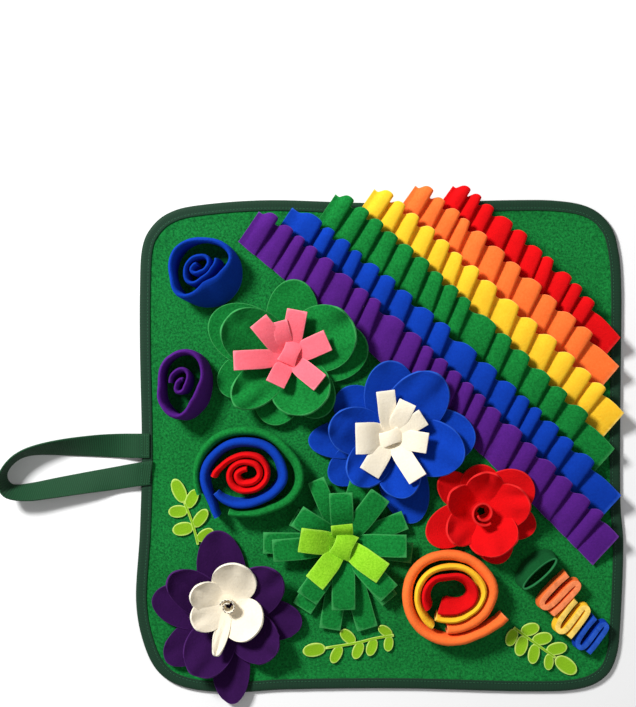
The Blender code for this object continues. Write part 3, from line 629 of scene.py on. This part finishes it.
# node, centre, height, hub radius, slot, curl of the rim, depth of its ripples, what it lies on,
# rows of (angle, reach, width, lift, tilt), one with a hump
PETALS = [
    ("green_petals_lower", GREEN_FLOWER, LOW, 17, "leaf_green_fleece", 1.2, 0.6, "fleece_ground", [
        (8, 82, 62, 8, 3), (85, 80, 54, 10, -3), (152, 90, 62, 5, 3), (203, 78, 50, 5, 2),
        (255, 71, 50, 6, 2), (303, 70, 50, 10, 0.5)]),
    ("green_petals_upper", GREEN_FLOWER, SECOND, 15, "leaf_green_fleece",
     3.0, 3.6, "green_petals_lower_cut", [
        (30, 74, 68, 21, -0.5), (150, 74, 60, 19, 1.5), (221, 72, 42, 17, 3),
        (292, 60, 62, 22, 3)]),
    ("blue_petals_lower", BLUE_FLOWER, LOW, 18, "blue_fleece", 0.6, 0.7, "fleece_ground", [
        (0, 86, 60, 15, 4), (90, 78, 54, 14, 2), (139, 70, 50, 3, 1), (183, 84, 40, 3, 1),
        (216, 76, 42, 3, 1), (286, 92, 50, 0, 0.5)]),
    ("blue_petals_upper", BLUE_FLOWER, SECOND, 15, "blue_fleece", 1.2, 2.4,
     "blue_petals_lower_cut", [
        (52, 80, 58, 24, 3), (170, 64, 50, 15, 3), (230, 60, 44, 16, 2), (283, 62, 46, 18, 2),
        (345, 76, 58, 19, 3)]),
    ("rose_petals_lower", ROSE, LOW, 15, "red_fleece", 0.3, 0.4, "fleece_ground", [
        (34, 60, 50, 16, 3), (92, 48, 42, 8, 3), (139, 56, 36, 11, 2), (206, 62, 42, 12, 2),
        (292, 57, 40, 5, 1), (342, 58, 38, 6, 3)]),
    ("rose_petals_upper", ROSE, SECOND, 12, "red_fleece", 1.6, 2.6, "rose_petals_lower_cut", [
        (15, 47, 46, 22, 3), (82, 42, 40, 20, 3), (150, 40, 34, 20, 3), (218, 43, 36, 21, 2),
        (294, 44, 52, 24, 2, 5)]),
    ("purple_petals_lower", PURPLE_FLOWER, LOW, 17, "dark_purple_fleece",
     0.8, 0.9, "fleece_ground", [
        (98, 90, 50, 4, 2), (165, 80, 46, 4, 2), (214, 77, 42, 5, 2), (273, 88, 40, 4, 1),
        (357, 76, 44, 5, 2)]),
    ("purple_petals_upper", PURPLE_FLOWER, SECOND, 15, "dark_purple_fleece", 1.6, 2.4,
     "purple_petals_lower_cut", [
        (43, 72, 50, 17, 3), (141, 74, 42, 15, 3), (238, 64, 50, 15, 3), (325, 60, 50, 15, 3)]),
    ("cream_petals", CREAM_FLOWER, CREAM_HEIGHT, 10, "cream_fleece", 1.2, 1.2,
     "purple_petals_upper_cut", [
        (76, 46, 46, 17, 2), (156, 40, 32, 15, 2), (203, 39, 34, 14, 2), (256, 50, 15, 14, 0),
        (318, 39, 46, 16, 2)]),
]


def beside(centre, angle, along, across):
    """The plan point that lies so far along a direction in degrees, and so far to its left."""
    return Vector(centre) + polar(angle, 1.0) * along + polar(angle + 90, 1.0) * across


def disc_place(a, c, count_a, count_c):
    """Place number (a, c) of a square grid, moved into the unit disc."""
    u = 2 * a / (count_a - 1) - 1
    v = 2 * c / (count_c - 1) - 1
    return u * sqrt(1 - v * v / 2), v * sqrt(1 - u * u / 2)


def petal_patch(centre, height, hub, curl, crumple, order, angle, reach, width, lift, tilt,
                hump=0):
    """One round petal: a disc of cloth drawn out from the hub, cupped, rippled and lifted."""
    root = hub * PETAL_ROOT
    columns = []
    for a in range(PETAL_ALONG):
        column = []
        for c in range(PETAL_ACROSS):
            x, y = disc_place(a, c, PETAL_ALONG, PETAL_ACROSS)
            s = (x + 1) / 2
            far = root + (reach - root) * s
            place = beside(centre, angle, far, y * width / 2)
            rim = max(sqrt(x * x + y * y) - RIM_FROM, 0.0) / (1 - RIM_FROM)
            free = max(far - hub, 0.0) / (reach - hub)
            rise = lift * free ** PETAL_CURVE + (CUP * y * y + tilt * y) * free
            rise += hump * 4 * free * (1 - free) + curl * rim * rim * free
            ripple = 1.0 + sin(RIPPLES[0] * y + RIPPLES[1] * angle + RIPPLES[2] * s)
            ripple += DENT * abs(wander((*place, height * 3 + angle), DENT_SIZE))
            rise += crumple * ripple * free ** PETAL_CURVE
            column.append((*place, height + max(rise, 0.0) + LAID * order))
        columns.append(column)
    return columns, False


for node, centre, height, hub, slot, curl, crumple, under, rows in PETALS:
    patches = [petal_patch(centre, height, hub, curl, crumple, k, *row)
               for k, row in enumerate(rows)]
    petals = cloth(node + "_cut", patches, PETAL_CLOTH, fleeces[slot], smooth=1, fuzz=0.3)
    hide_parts(node)
    cut_area = sum(pi / 4 * row[1] * row[2] for row in rows)

# ---------------- the knotted strips
# Short straight strips of fleece, tied or sewn together in the middle of a flower so that their
# square cut ends spread and lift.  The one that ties them crosses over the top.
STRIP_ALONG = 8
STRIP_ACROSS = 4
STRIP_CLOTH = 2.3
STRIP_LAID = 0.05  # from one strip of a layer to the next
STRIP_ROOT = 0.25
PINCH = 0.72  # how narrow a strip is drawn in by the knot, as a share
WIDENING = 2.4  # how fast it comes back to its full width, by shares of its length
LOOSE = 1.3  # how far a strip sways and twists
HELD_DOWN = 0.3  # and how far in the lowest layer
KNOT_WAIST = 0.8
KNOT_DROP = 5.0  # how far a knot's ends go down
KNOT_ROUND = 1.1
FRINGE_FLOWER = (-38.0, -100.0)
fleeces |= {
    "pink_fleece": fleece("shorn_pink_fleece", "#FF7C8A", "#F5606F", "#FFA6AE", 0.3),
    "lime_fleece": fleece("curly_lime_fleece", "#9CDC30", "#7CBE1A", "#C0F060", 0.8),
}

# node, centre, height, hub, slot, what they lie on, rows of (angle, reach, width, lift, hump),
# knot rows of (angle, half length, width, height over the hub, offset along)
STRIPS = [
    ("fringe_lower", FRINGE_FLOWER, LOW, 22, "leaf_green_fleece", "fleece_ground", [
        (22, 68, 20, 7, 2), (75, 66, 22, 9, 2), (113, 72, 18, 8, 7), (151, 58, 20, 3, 2),
        (179, 82, 22, 3, 2), (237, 78, 22, 4, 2), (261, 88, 22, 3, 2), (286, 90, 22, 3, 2),
        (310, 74, 20, 4, 2), (353, 71, 21, 5, 2)], []),
    ("fringe_upper", FRINGE_FLOWER, SECOND, 18, "leaf_green_fleece", "fringe_lower_cut", [
        (0, 64, 23, 12, 5), (54, 64, 23, 11, 4), (93, 54, 24, 11, 5), (147, 56, 23, 10, 6),
        (184, 72, 23, 9, 6), (235, 65, 24, 10, 6), (270, 65, 24, 10, 6),
        (314, 67, 24, 10, 6)], []),
    ("lime_strips", FRINGE_FLOWER, THIRD, 9, "lime_fleece", "fringe_upper_cut", [
        (95, 22, 22, 9, 5), (171, 45, 25, 12, 5), (231, 47, 22, 12, 5),
        (326, 48, 24, 12, 5)], [(68, 13, 24, 8.5, 0)]),
    ("pink_strips", GREEN_FLOWER, THIRD, 9, "pink_fleece", "green_petals_upper_cut", [
        (24, 44, 22, 18, 4), (79, 49, 21, 16, 5), (104, 38, 17, 14, 5), (129, 48, 21, 16, 5),
        (183, 55, 20, 17, 4), (244, 30, 20, 18, 5), (322, 41, 20, 20, 4)], [(66, 13, 20, 9.0, 7)]),
    ("white_strips", BLUE_FLOWER, THIRD, 8, "cream_fleece", "blue_petals_upper_cut", [
        (33, 39, 18, 15, 4), (65, 40, 18, 15, 5), (97, 48, 19, 14, 4), (181, 36, 32, 13, 5),
        (238, 42, 22, 13, 4), (303, 49, 20, 18, 4), (352, 37, 21, 16, 4)], [(20, 12, 17, 8.5, 0)]),
]


def strip_patch(centre, height, hub, order, angle, reach, width, lift, hump):
    """One strip from the knot outwards, square at its end."""
    root = hub * STRIP_ROOT
    loose = HELD_DOWN if height == LOW else LOOSE
    twist = 1 if wander((angle, height, 0), 11) > 0 else -1
    columns = []
    for a in range(STRIP_ALONG):
        s = a / (STRIP_ALONG - 1)
        far = root + (reach - root) * s
        free = max(far - hub, 0.0) / (reach - hub)
        pinch = PINCH + (1 - PINCH) * min(s * WIDENING, 1.0)
        column = []
        for c in range(STRIP_ACROSS):
            t = 2 * c / (STRIP_ACROSS - 1) - 1
            place = beside(centre, angle, far, t * width / 2 * pinch)
            rise = lift * free ** PETAL_CURVE + hump * 4 * free * (1 - free)
            rise += loose * (1 + t * twist + abs(wander((*place, height), 9))) * free
            column.append((*place, height + rise + STRIP_LAID * order))
        columns.append(column)
    return columns, False


def knot_patch(centre, height, angle, half_length, width, over, offset):
    """The strip that crosses the middle and holds the others down."""
    columns = []
    for a in range(STRIP_ALONG):
        s = 2 * a / (STRIP_ALONG - 1) - 1
        column = []
        for c in range(STRIP_ACROSS):
            t = 2 * c / (STRIP_ACROSS - 1) - 1
            place = beside(centre, angle, offset + half_length * s,
                           t * width / 2 * (KNOT_WAIST + (1 - KNOT_WAIST) * s * s))
            drop = KNOT_DROP * s * s + KNOT_ROUND * t * t
            column.append((*place, height + over - drop))
        columns.append(column)
    return columns, False


for node, centre, height, hub, slot, under, rows, knots in STRIPS:
    patches = [strip_patch(centre, height, hub, k, *row) for k, row in enumerate(rows)]
    patches += [knot_patch(centre, height, *row) for row in knots]
    strips = cloth(node + "_cut", patches, STRIP_CLOTH, fleeces[slot], smooth=1, fuzz=0.3)
    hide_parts(node)

# ---------------- the rolled flowers
# Strips of fleece folded double along their length, rolled up and sewn down by their two cut
# edges, so that the soft fold stands up as a thick rounded rim.
FOLDED = 6.4
WIDE_FOLD = 9.4
ROLL_A = (-135.0, -27.5)
ROLL_B = (68.0, -150.0)
ROLL_STEP = 7.0
FOOT_CLEAR = 0.1
TAPERED = 9  # columns over which a fuller fold draws in to its cut end
FULLEST = 1.16
RIM_SWAY = 1.2  # how far the rim goes up and down
RIM_DOWN = 0.9
UNEVEN = 0.14
SWAY_SIZE = 19
UNEVEN_SIZE = 11
LAYER_SHARE = 0.42  # one layer of the doubled strip, at most
FOLD_SECTION = [  # across the doubled strip as a share of its half width, level
    (0.96, 0.0), (1.06, 0.22), (1.14, 0.46), (FULLEST, 0.68), (1.0, 0.86), (0.56, 0.97),
    (0.0, 1.0), (-0.56, 0.97), (-1.0, 0.86), (-FULLEST, 0.68), (-1.14, 0.46), (-1.06, 0.22),
    (-0.96, 0.0),
]
# node, centre, lean, height, thickness, how full the fold is, slot, rows of (angle, foot radius,
# rim radius)
ROLLS = [
    ("roll_green_outer", ROLL_A, (0, 0), 26, FOLDED, 1.6, "leaf_green_fleece", [
        (243, 41, 43), (270, 39, 40), (305, 41, 42), (335, 48, 51), (360, 50, 54), (394, 44, 47),
        (450, 43, 45), (496, 47, 50), (540, 50, 53), (562, 50, 53)]),
    ("roll_blue_middle", ROLL_A, (0, 0), 27, FOLDED, 1.75, "blue_fleece", [
        (209, 37, 37), (238, 32, 34), (270, 28, 30), (300, 27, 29), (330, 30, 33), (353, 33, 37),
        (375, 33, 36), (408, 33, 35), (450, 31, 34), (503, 36, 39), (540, 42, 45), (565, 43, 45),
        (580, 45, 47), (594, 52, 53)]),
    ("roll_red_inner", ROLL_A, (0, 0), 28, FOLDED, 1.0, "red_fleece", [
        (100, 5.8, 6.1), (140, 7.2, 7.6), (180, 10.6, 11), (225, 10.2, 10.6), (270, 8, 8.4),
        (315, 9, 9.4), (360, 11.8, 12.2), (405, 12.6, 13), (450, 12.5, 12.9), (495, 15.2, 15.6),
        (540, 18.4, 18.9), (585, 17.8, 18.4), (630, 15.5, 16.2), (675, 16.5, 17.2),
        (720, 19.3, 20), (765, 20.1, 20.8), (810, 19.7, 20.4), (850, 21.6, 22.4), (880, 26, 27.5),
        (903, 33, 35)]),
    ("roll_orange_outer", ROLL_B, (0, 0), 26, WIDE_FOLD, 1.12, "orange_fleece", [
        (268, 34, 34), (307, 36, 36.5), (349, 42, 43), (370, 44, 47), (405, 41, 44), (450, 39, 42),
        (495, 40, 43), (540, 39, 42.5), (585, 41, 44), (630, 45, 46), (665, 48, 49), (685, 54, 55),
        (700, 61, 62)]),
    ("roll_yellow_middle", ROLL_B, (0, 0), 27, FOLDED, 1.1, "yellow_fleece", [
        (240, 23, 26), (270, 22, 25), (317, 24, 28), (350, 30, 34), (370, 33, 37), (405, 31, 34),
        (450, 27, 30), (495, 27, 31), (540, 28, 32), (570, 29.5, 33), (603, 33, 35)]),
    ("roll_red_core", ROLL_B, (0, 0), 28, FOLDED, 1.1, "red_fleece", [
        (235, 9, 19), (270, 6, 17), (315, 10, 20), (350, 20, 26.5), (370, 23, 28), (405, 20, 25.7),
        (450, 15, 20.5), (495, 17, 23), (540, 19, 25), (573, 20, 25.4)]),
    ("rosette_blue_cup", (-177.0, 178.0), (-8, 5), 32, FOLDED - 1, 1.1, "blue_fleece", [
        (21, 33, 35), (81, 33, 27), (141, 33, 28), (199, 33, 28), (238, 33, 34), (290, 34, 18),
        (345, 34, 24), (381, 33, 35)]),
    ("rosette_blue_core", (-181.0, 181.0), (-4, 2), 30, 4.5, 1.05, "blue_fleece", [
        (120, 3.5, 3.5), (170, 5, 5), (215, 8, 8), (290, 6.5, 5.5), (350, 8, 8), (400, 11.5, 13),
        (450, 12, 10.5), (510, 12, 10.5), (560, 15, 14), (600, 18, 18.5), (650, 15, 12),
        (710, 16, 13.5), (745, 20, 20)]),
    ("rosette_purple_cup", (-197.0, 63.0), (-5, 2), 32, FOLDED - 1, 1.1, "purple_fleece", [
        (25, 25, 24), (70, 32, 33), (110, 32, 29), (180, 24, 21), (230, 29, 29), (265, 34, 33),
        (300, 28, 21), (345, 23, 18), (385, 25, 24)]),
    ("rosette_purple_core", (-200.0, 64.0), (-3, 1), 30, 4.5, 1.1, "purple_fleece", [
        (60, 4, 5), (120, 3.5, 3), (200, 4, 4), (255, 8.5, 9), (330, 6.5, 5.5), (380, 7.5, 7.5),
        (430, 12, 15), (480, 12.5, 12.5), (535, 11, 10)]),
]

for node, centre, lean, height, thickness, fullness, slot, rows in ROLLS:
    closed = rows[-1][0] - rows[0][0] == 360 and rows[-1][1:] == rows[0][1:]
    if closed:
        rows = [(rows[-2][0] - 360, *rows[-2][1:])] + rows + [(rows[1][0] + 360, *rows[1][1:])]
    first = 1 if closed else 0
    last = len(rows) - 1 - first
    layer = min(FLEECE, thickness * LAYER_SHARE)
    half_gap = (thickness - layer) / 2 / FULLEST
    steps = round((rows[last][0] - rows[first][0]) / ROLL_STEP)
    walls = []
    for step in range(steps + (0 if closed else 1)):
        angle = rows[first][0] + (rows[last][0] - rows[first][0]) * step / steps
        row = max(k for k in range(len(rows) - 1) if rows[k][0] <= angle)
        position = row + (angle - rows[row][0]) / (rows[row + 1][0] - rows[row][0])
        low = Vector(centre) + polar(angle, spline([item[1] for item in rows], position))
        high = Vector(centre) + Vector(lean)
        high += polar(angle, spline([item[2] for item in rows], position))
        walls.append((low, high))
    columns = []
    strip = 0.0
    for k, (low, high) in enumerate(walls):
        after = walls[(k + 1) % len(walls)] if closed or k + 1 < len(walls) else walls[k]
        before = walls[k - 1] if closed or k else walls[k]
        strip += (after[0].lerp(after[1], 0.5) - low.lerp(high, 0.5)).length
        along = (after[1] - before[1]).normalized()
        outward = Vector((along.y, -along.x))
        foot = GROUND + FOOT_CLEAR + layer / 2
        foot += thickness / 2 * min((high - low).length / height, 1.0)
        top = GROUND + height - layer / 2
        top += RIM_SWAY * wander((*high, centre[0]), SWAY_SIZE) - RIM_DOWN
        ends = 1.0 if closed else min(k / TAPERED, (len(walls) - 1 - k) / TAPERED, 1.0)
        full = 1.0 + (fullness - 1.0) * ends + UNEVEN * wander((*high, centre[1]), UNEVEN_SIZE)
        column = []
        for across, level in FOLD_SECTION:
            place = low.lerp(high, level) + outward * (half_gap * across * full)
            column.append((*place, foot + (top - foot) * level))
        columns.append(column)
    roll = cloth(node + "_folded", [(columns, closed)], layer, fleeces[slot], fuzz=0.35)
    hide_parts(node)

# ---------------- the four pockets
# Small pieces of fleece sewn down by their foot in a row, bottom right.  The first is a square
# bent round with its mouth pressed flat; the others are folded in three, their ridges upwards.
POUCH_STEP = 9.0
POCKET_LEVELS = 7
MOUTH_SWAY = 0.8
MOUTH_SIZE = 14
DIMPLE = 0.12
DIMPLE_SIZE = 12
FOOT_ROOM = 0.4  # how much of a wall's thickness is kept free under its foot
RIM_ROOM = 0.1  # and over its rim
EDGE_ROUND = 0.38  # as a share of the wall
THINNER = 0.3  # a small piece is this much thinner than its solid, to leave its nap room
FOOT_SPREAD = 1.06
FOLD_STEPS = 4
FOLD_PATH = [  # a cloth folded in three, as shares of half its length and half its width
    (-0.96, -0.92), (-0.4, -1.0), (0.3, -1.0), (0.68, -0.98), (0.9, -0.88), (1.0, -0.58),
    (0.9, -0.28), (0.68, -0.19), (0.3, -0.17), (-0.3, -0.16), (-0.68, -0.1), (-0.9, 0.06),
    (-1.0, 0.42), (-0.9, 0.78), (-0.68, 0.94), (-0.3, 1.02), (0.4, 1.02), (0.98, 0.9),
]
fleeces["bottle_green_fleece"] = fleece("shorn_bottle_green_fleece", "#125B2C", "#0A4520",
                                        "#3C9A5C", 0.45)
# name, x, y, axis, foot long and wide, rim long and wide, height, wall, lean, slot
POUCHES = [
    ("pocket_green", 159, -125, 42, 48, 26, 44, 10, 20, 2.5, (2, -3), "bottle_green_fleece"),
]
# name, x, y, axis, length, width, height, wall, lean, slot
FOLDS = [
    ("pocket_orange", 181, -149, 46, 41, 18.5, 15, 5.8, (1, -1), "orange_fleece"),
    ("pocket_yellow", 194, -174, 54, 35, 18.0, 14, 5.6, (1, -1), "yellow_fleece"),
    ("pocket_blue", 214, -191, 54, 34, 17.0, 13, 5.2, (1, -1), "blue_fleece"),
]


def pocket_piece(name, walls, closed, height, wall, slot):
    """A standing cloth over pairs of plan points, foot and rim, its rim a little uneven."""
    columns = []
    for k, (low, high) in enumerate(walls):
        leant = min((high - low).length / height, 1.0)
        foot = GROUND + FOOT_CLEAR + wall / 2 * (FOOT_ROOM + leant)
        top = GROUND + height - wall * RIM_ROOM + MOUTH_SWAY * wander((*high, height), MOUTH_SIZE)
        column = []
        for r in range(POCKET_LEVELS):
            level = r / (POCKET_LEVELS - 1)
            place = low.lerp(high, level)
            dent = DIMPLE * sin(pi * level) * wander((*place, level * 9), DIMPLE_SIZE)
            place += (high - low) * dent
            column.append((*place, foot + (top - foot) * level))
        columns.append(column)
    pocket = cloth(name + "_folded", [(columns, closed)], wall - THINNER, fleeces[slot],
                   fuzz=0.25, smooth=1, round_edge=wall * EDGE_ROUND)
    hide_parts(name)


for (name, x, y, axis, foot_long, foot_wide, rim_long, rim_wide, height, wall, lean,
     slot) in POUCHES:
    walls = []
    for step in range(round(360 / POUCH_STEP)):
        angle = radians(POUCH_STEP * step)
        ends = []
        for long, wide, shift in ((foot_long, foot_wide, (0, 0)), (rim_long, rim_wide, lean)):
            place = Vector((x, y)) + Vector(shift) + polar(axis, cos(angle) * long / 2)
            ends.append(place + polar(axis + 90, sin(angle) * wide / 2))
        walls.append(ends)
    pocket_piece(name, walls, True, height, wall, slot)
for name, x, y, axis, length, width, height, wall, lean, slot in FOLDS:
    walls = []
    for step in range((len(FOLD_PATH) - 1) * FOLD_STEPS + 1):
        along, across = (spline([row[k] for row in FOLD_PATH], step / FOLD_STEPS)
                         for k in range(2))
        place = polar(axis, along * length / 2) + polar(axis + 90, across * width / 2)
        walls.append((Vector((x, y)) + place * FOOT_SPREAD,
                      Vector((x, y)) + place + Vector(lean)))
    pocket_piece(name, walls, False, height, wall, slot)

# ---------------- the leaf sprays
# Sprigs die-cut in one piece from thin pressed felt and tacked down along the stem, so that the
# leaves lie nearly flat and their pale cut edges lift a little.
FELT = 1.4
STEM_HALF = 1.3
LEAF_ALONG = 8
LEAF_ACROSS = 6
TIP_LIFT = 1.4
EDGE_LIFT = 0.5
STEM_STEPS = 12
STEM_RISE = 0.3  # the leaves run out from under the stem
FELT_CLEAR = 0.05
lime_felt = fleece("pressed_yellow_green_felt", "#8FC122", "#78AA18", "#D6EE80", 0.3,
                   nap_mm=1.8, rim=0.7, pale=0.85)
# node, cut size in mm, cut area in mm2, stem, tip leaf (angle, length, width), leaves of
# (share of the stem, side, angle, length, width)
SPRAYS = [
    ("leaf_spray_left", (62, 74), 1700,
     [(-187, -101), (-191, -85), (-196, -70), (-201, -58)], (114, 27, 14), [
        (0.12, -1, 32, 20, 12), (0.38, -1, 52, 23, 12), (0.38, 1, 190, 22, 14),
        (0.82, -1, 62, 22, 12), (0.76, 1, 184, 20, 13)]),
    ("leaf_spray_middle", (50, 104), 1800,
     [(14, -194), (-5, -197), (-25, -202), (-56, -207)], (189, 24, 14), [
        (0.05, -1, 146, 17, 10), (0.1, 1, 262, 16, 10), (0.34, 1, 250, 19, 11),
        (0.58, 1, 246, 19, 11), (0.68, -1, 136, 20, 12), (0.82, 1, 242, 20, 11)]),
    ("leaf_spray_right", (58, 84), 2200,
     [(137, -186), (148, -194), (163, -205), (180, -217)], (324, 26, 16), [
        (0.08, -1, 246, 19, 12), (0.24, 1, 20, 20, 13), (0.34, -1, 252, 22, 13),
        (0.52, 1, 14, 21, 13), (0.6, -1, 258, 21, 12), (0.8, 1, 14, 22, 13),
        (0.86, -1, 264, 17, 10)]),
]


def leaf_patch(root, angle, length, width, height):
    """One oval leaf, its tip lifted a little off the mat."""
    columns = []
    for a in range(LEAF_ALONG):
        column = []
        for c in range(LEAF_ACROSS):
            x, y = disc_place(a, c, LEAF_ALONG, LEAF_ACROSS)
            s = (x + 1) / 2
            place = beside(root, angle, length * s, y * width / 2)
            column.append((*place, height + TIP_LIFT * s * s + EDGE_LIFT * y * y * s))
        columns.append(column)
    return columns, False


for node, cut, cut_area, stem, tip_leaf, leaves in SPRAYS:
    stem = [Vector(point) for point in stem]
    last = len(stem) - 1
    height = GROUND + FELT / 2 + FELT_CLEAR
    columns = []
    for k in range(STEM_STEPS + 1):
        share = k / STEM_STEPS
        here = spline(stem, share * last)
        ahead = spline(stem, min(share + 0.02, 1.0) * last)
        behind = spline(stem, max(share - 0.02, 0.0) * last)
        along = (ahead - behind).normalized()
        side = Vector((-along.y, along.x)) * STEM_HALF
        columns.append([(*(here + side * t), height + STEM_RISE) for t in (-1.0, -0.3, 0.3, 1.0)])
    patches = [(columns, False), leaf_patch(spline(stem, last), *tip_leaf, height)]
    for share, side, angle, length, width in leaves:
        patches.append(leaf_patch(spline(stem, share * last), angle, length, width, height))
    spray = cloth(node + "_cut", patches, FELT, lime_felt, smooth=1, round_edge=0.3)
    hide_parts(node)

# ---------------- the hearts
# The rose ends in a small petal rolled on itself.  The cream flower is closed by a narrow coil,
# tacked down with a few turns of grey thread that show.
HEART_STEP = 12.0
HEART_LEVELS = 6
HEART_DIP = 0.14  # how much lower the coil is where it turns away, as a share
HEART_FLARE = 0.12
HEART_PITCH = 3.4
HEART_THREAD = 0.8
# node, centre, foot height, start angle, turns, inner and outer radius, height, thickness,
# strip length in m, slot, what it stands on
HEARTS = [
    ("rose_heart", ROSE, SECOND + FLEECE / 2 + GAP + 1.2, 200, 1.3, 6, 12, 22, FLEECE, 0.078,
     "red_fleece", "rose_petals_upper_cut"),
    ("cream_heart", CREAM_FLOWER, CREAM_HEIGHT + FLEECE / 2 + GAP + 1.0, 60, 1.3, 3.4, 8, 12,
     1.8, 0.05, "cream_fleece", "cream_petals_cut"),
]
grey_thread = spun_thread("grey_sewing_thread", "#6E6A5E", "#48443C")
for (node, centre, base, start, turns, inner, outer, height, thickness, strip, slot,
     under) in HEARTS:
    steps = round(turns * 360 / HEART_STEP)
    columns = []
    rim_path = []
    for step in range(steps + 1):
        share = step / steps
        angle = start + 360 * turns * share
        radius = inner + (outer - inner) * share
        tall = height * (1 - HEART_DIP + HEART_DIP * cos(radians(angle - start)))
        column = []
        for r in range(HEART_LEVELS):
            level = r / (HEART_LEVELS - 1)
            flare = radius * (1 - HEART_FLARE / 2 + HEART_FLARE * level)
            place = Vector(centre) + polar(angle, flare)
            column.append((*place, base + tall * level))
        columns.append(column)
        rim_path.append((column[-1][0], column[-1][1], column[-1][2] + thickness / 3))
    heart = cloth(node + "_rolled", [(columns, False)], thickness - THINNER, fleeces[slot],
                  fuzz=0.2)
    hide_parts(node)
    if node == "cream_heart":
        row = stitch_row("cream_heart_stitches", rim_path, HEART_PITCH, HEART_THREAD,
                         grey_thread)
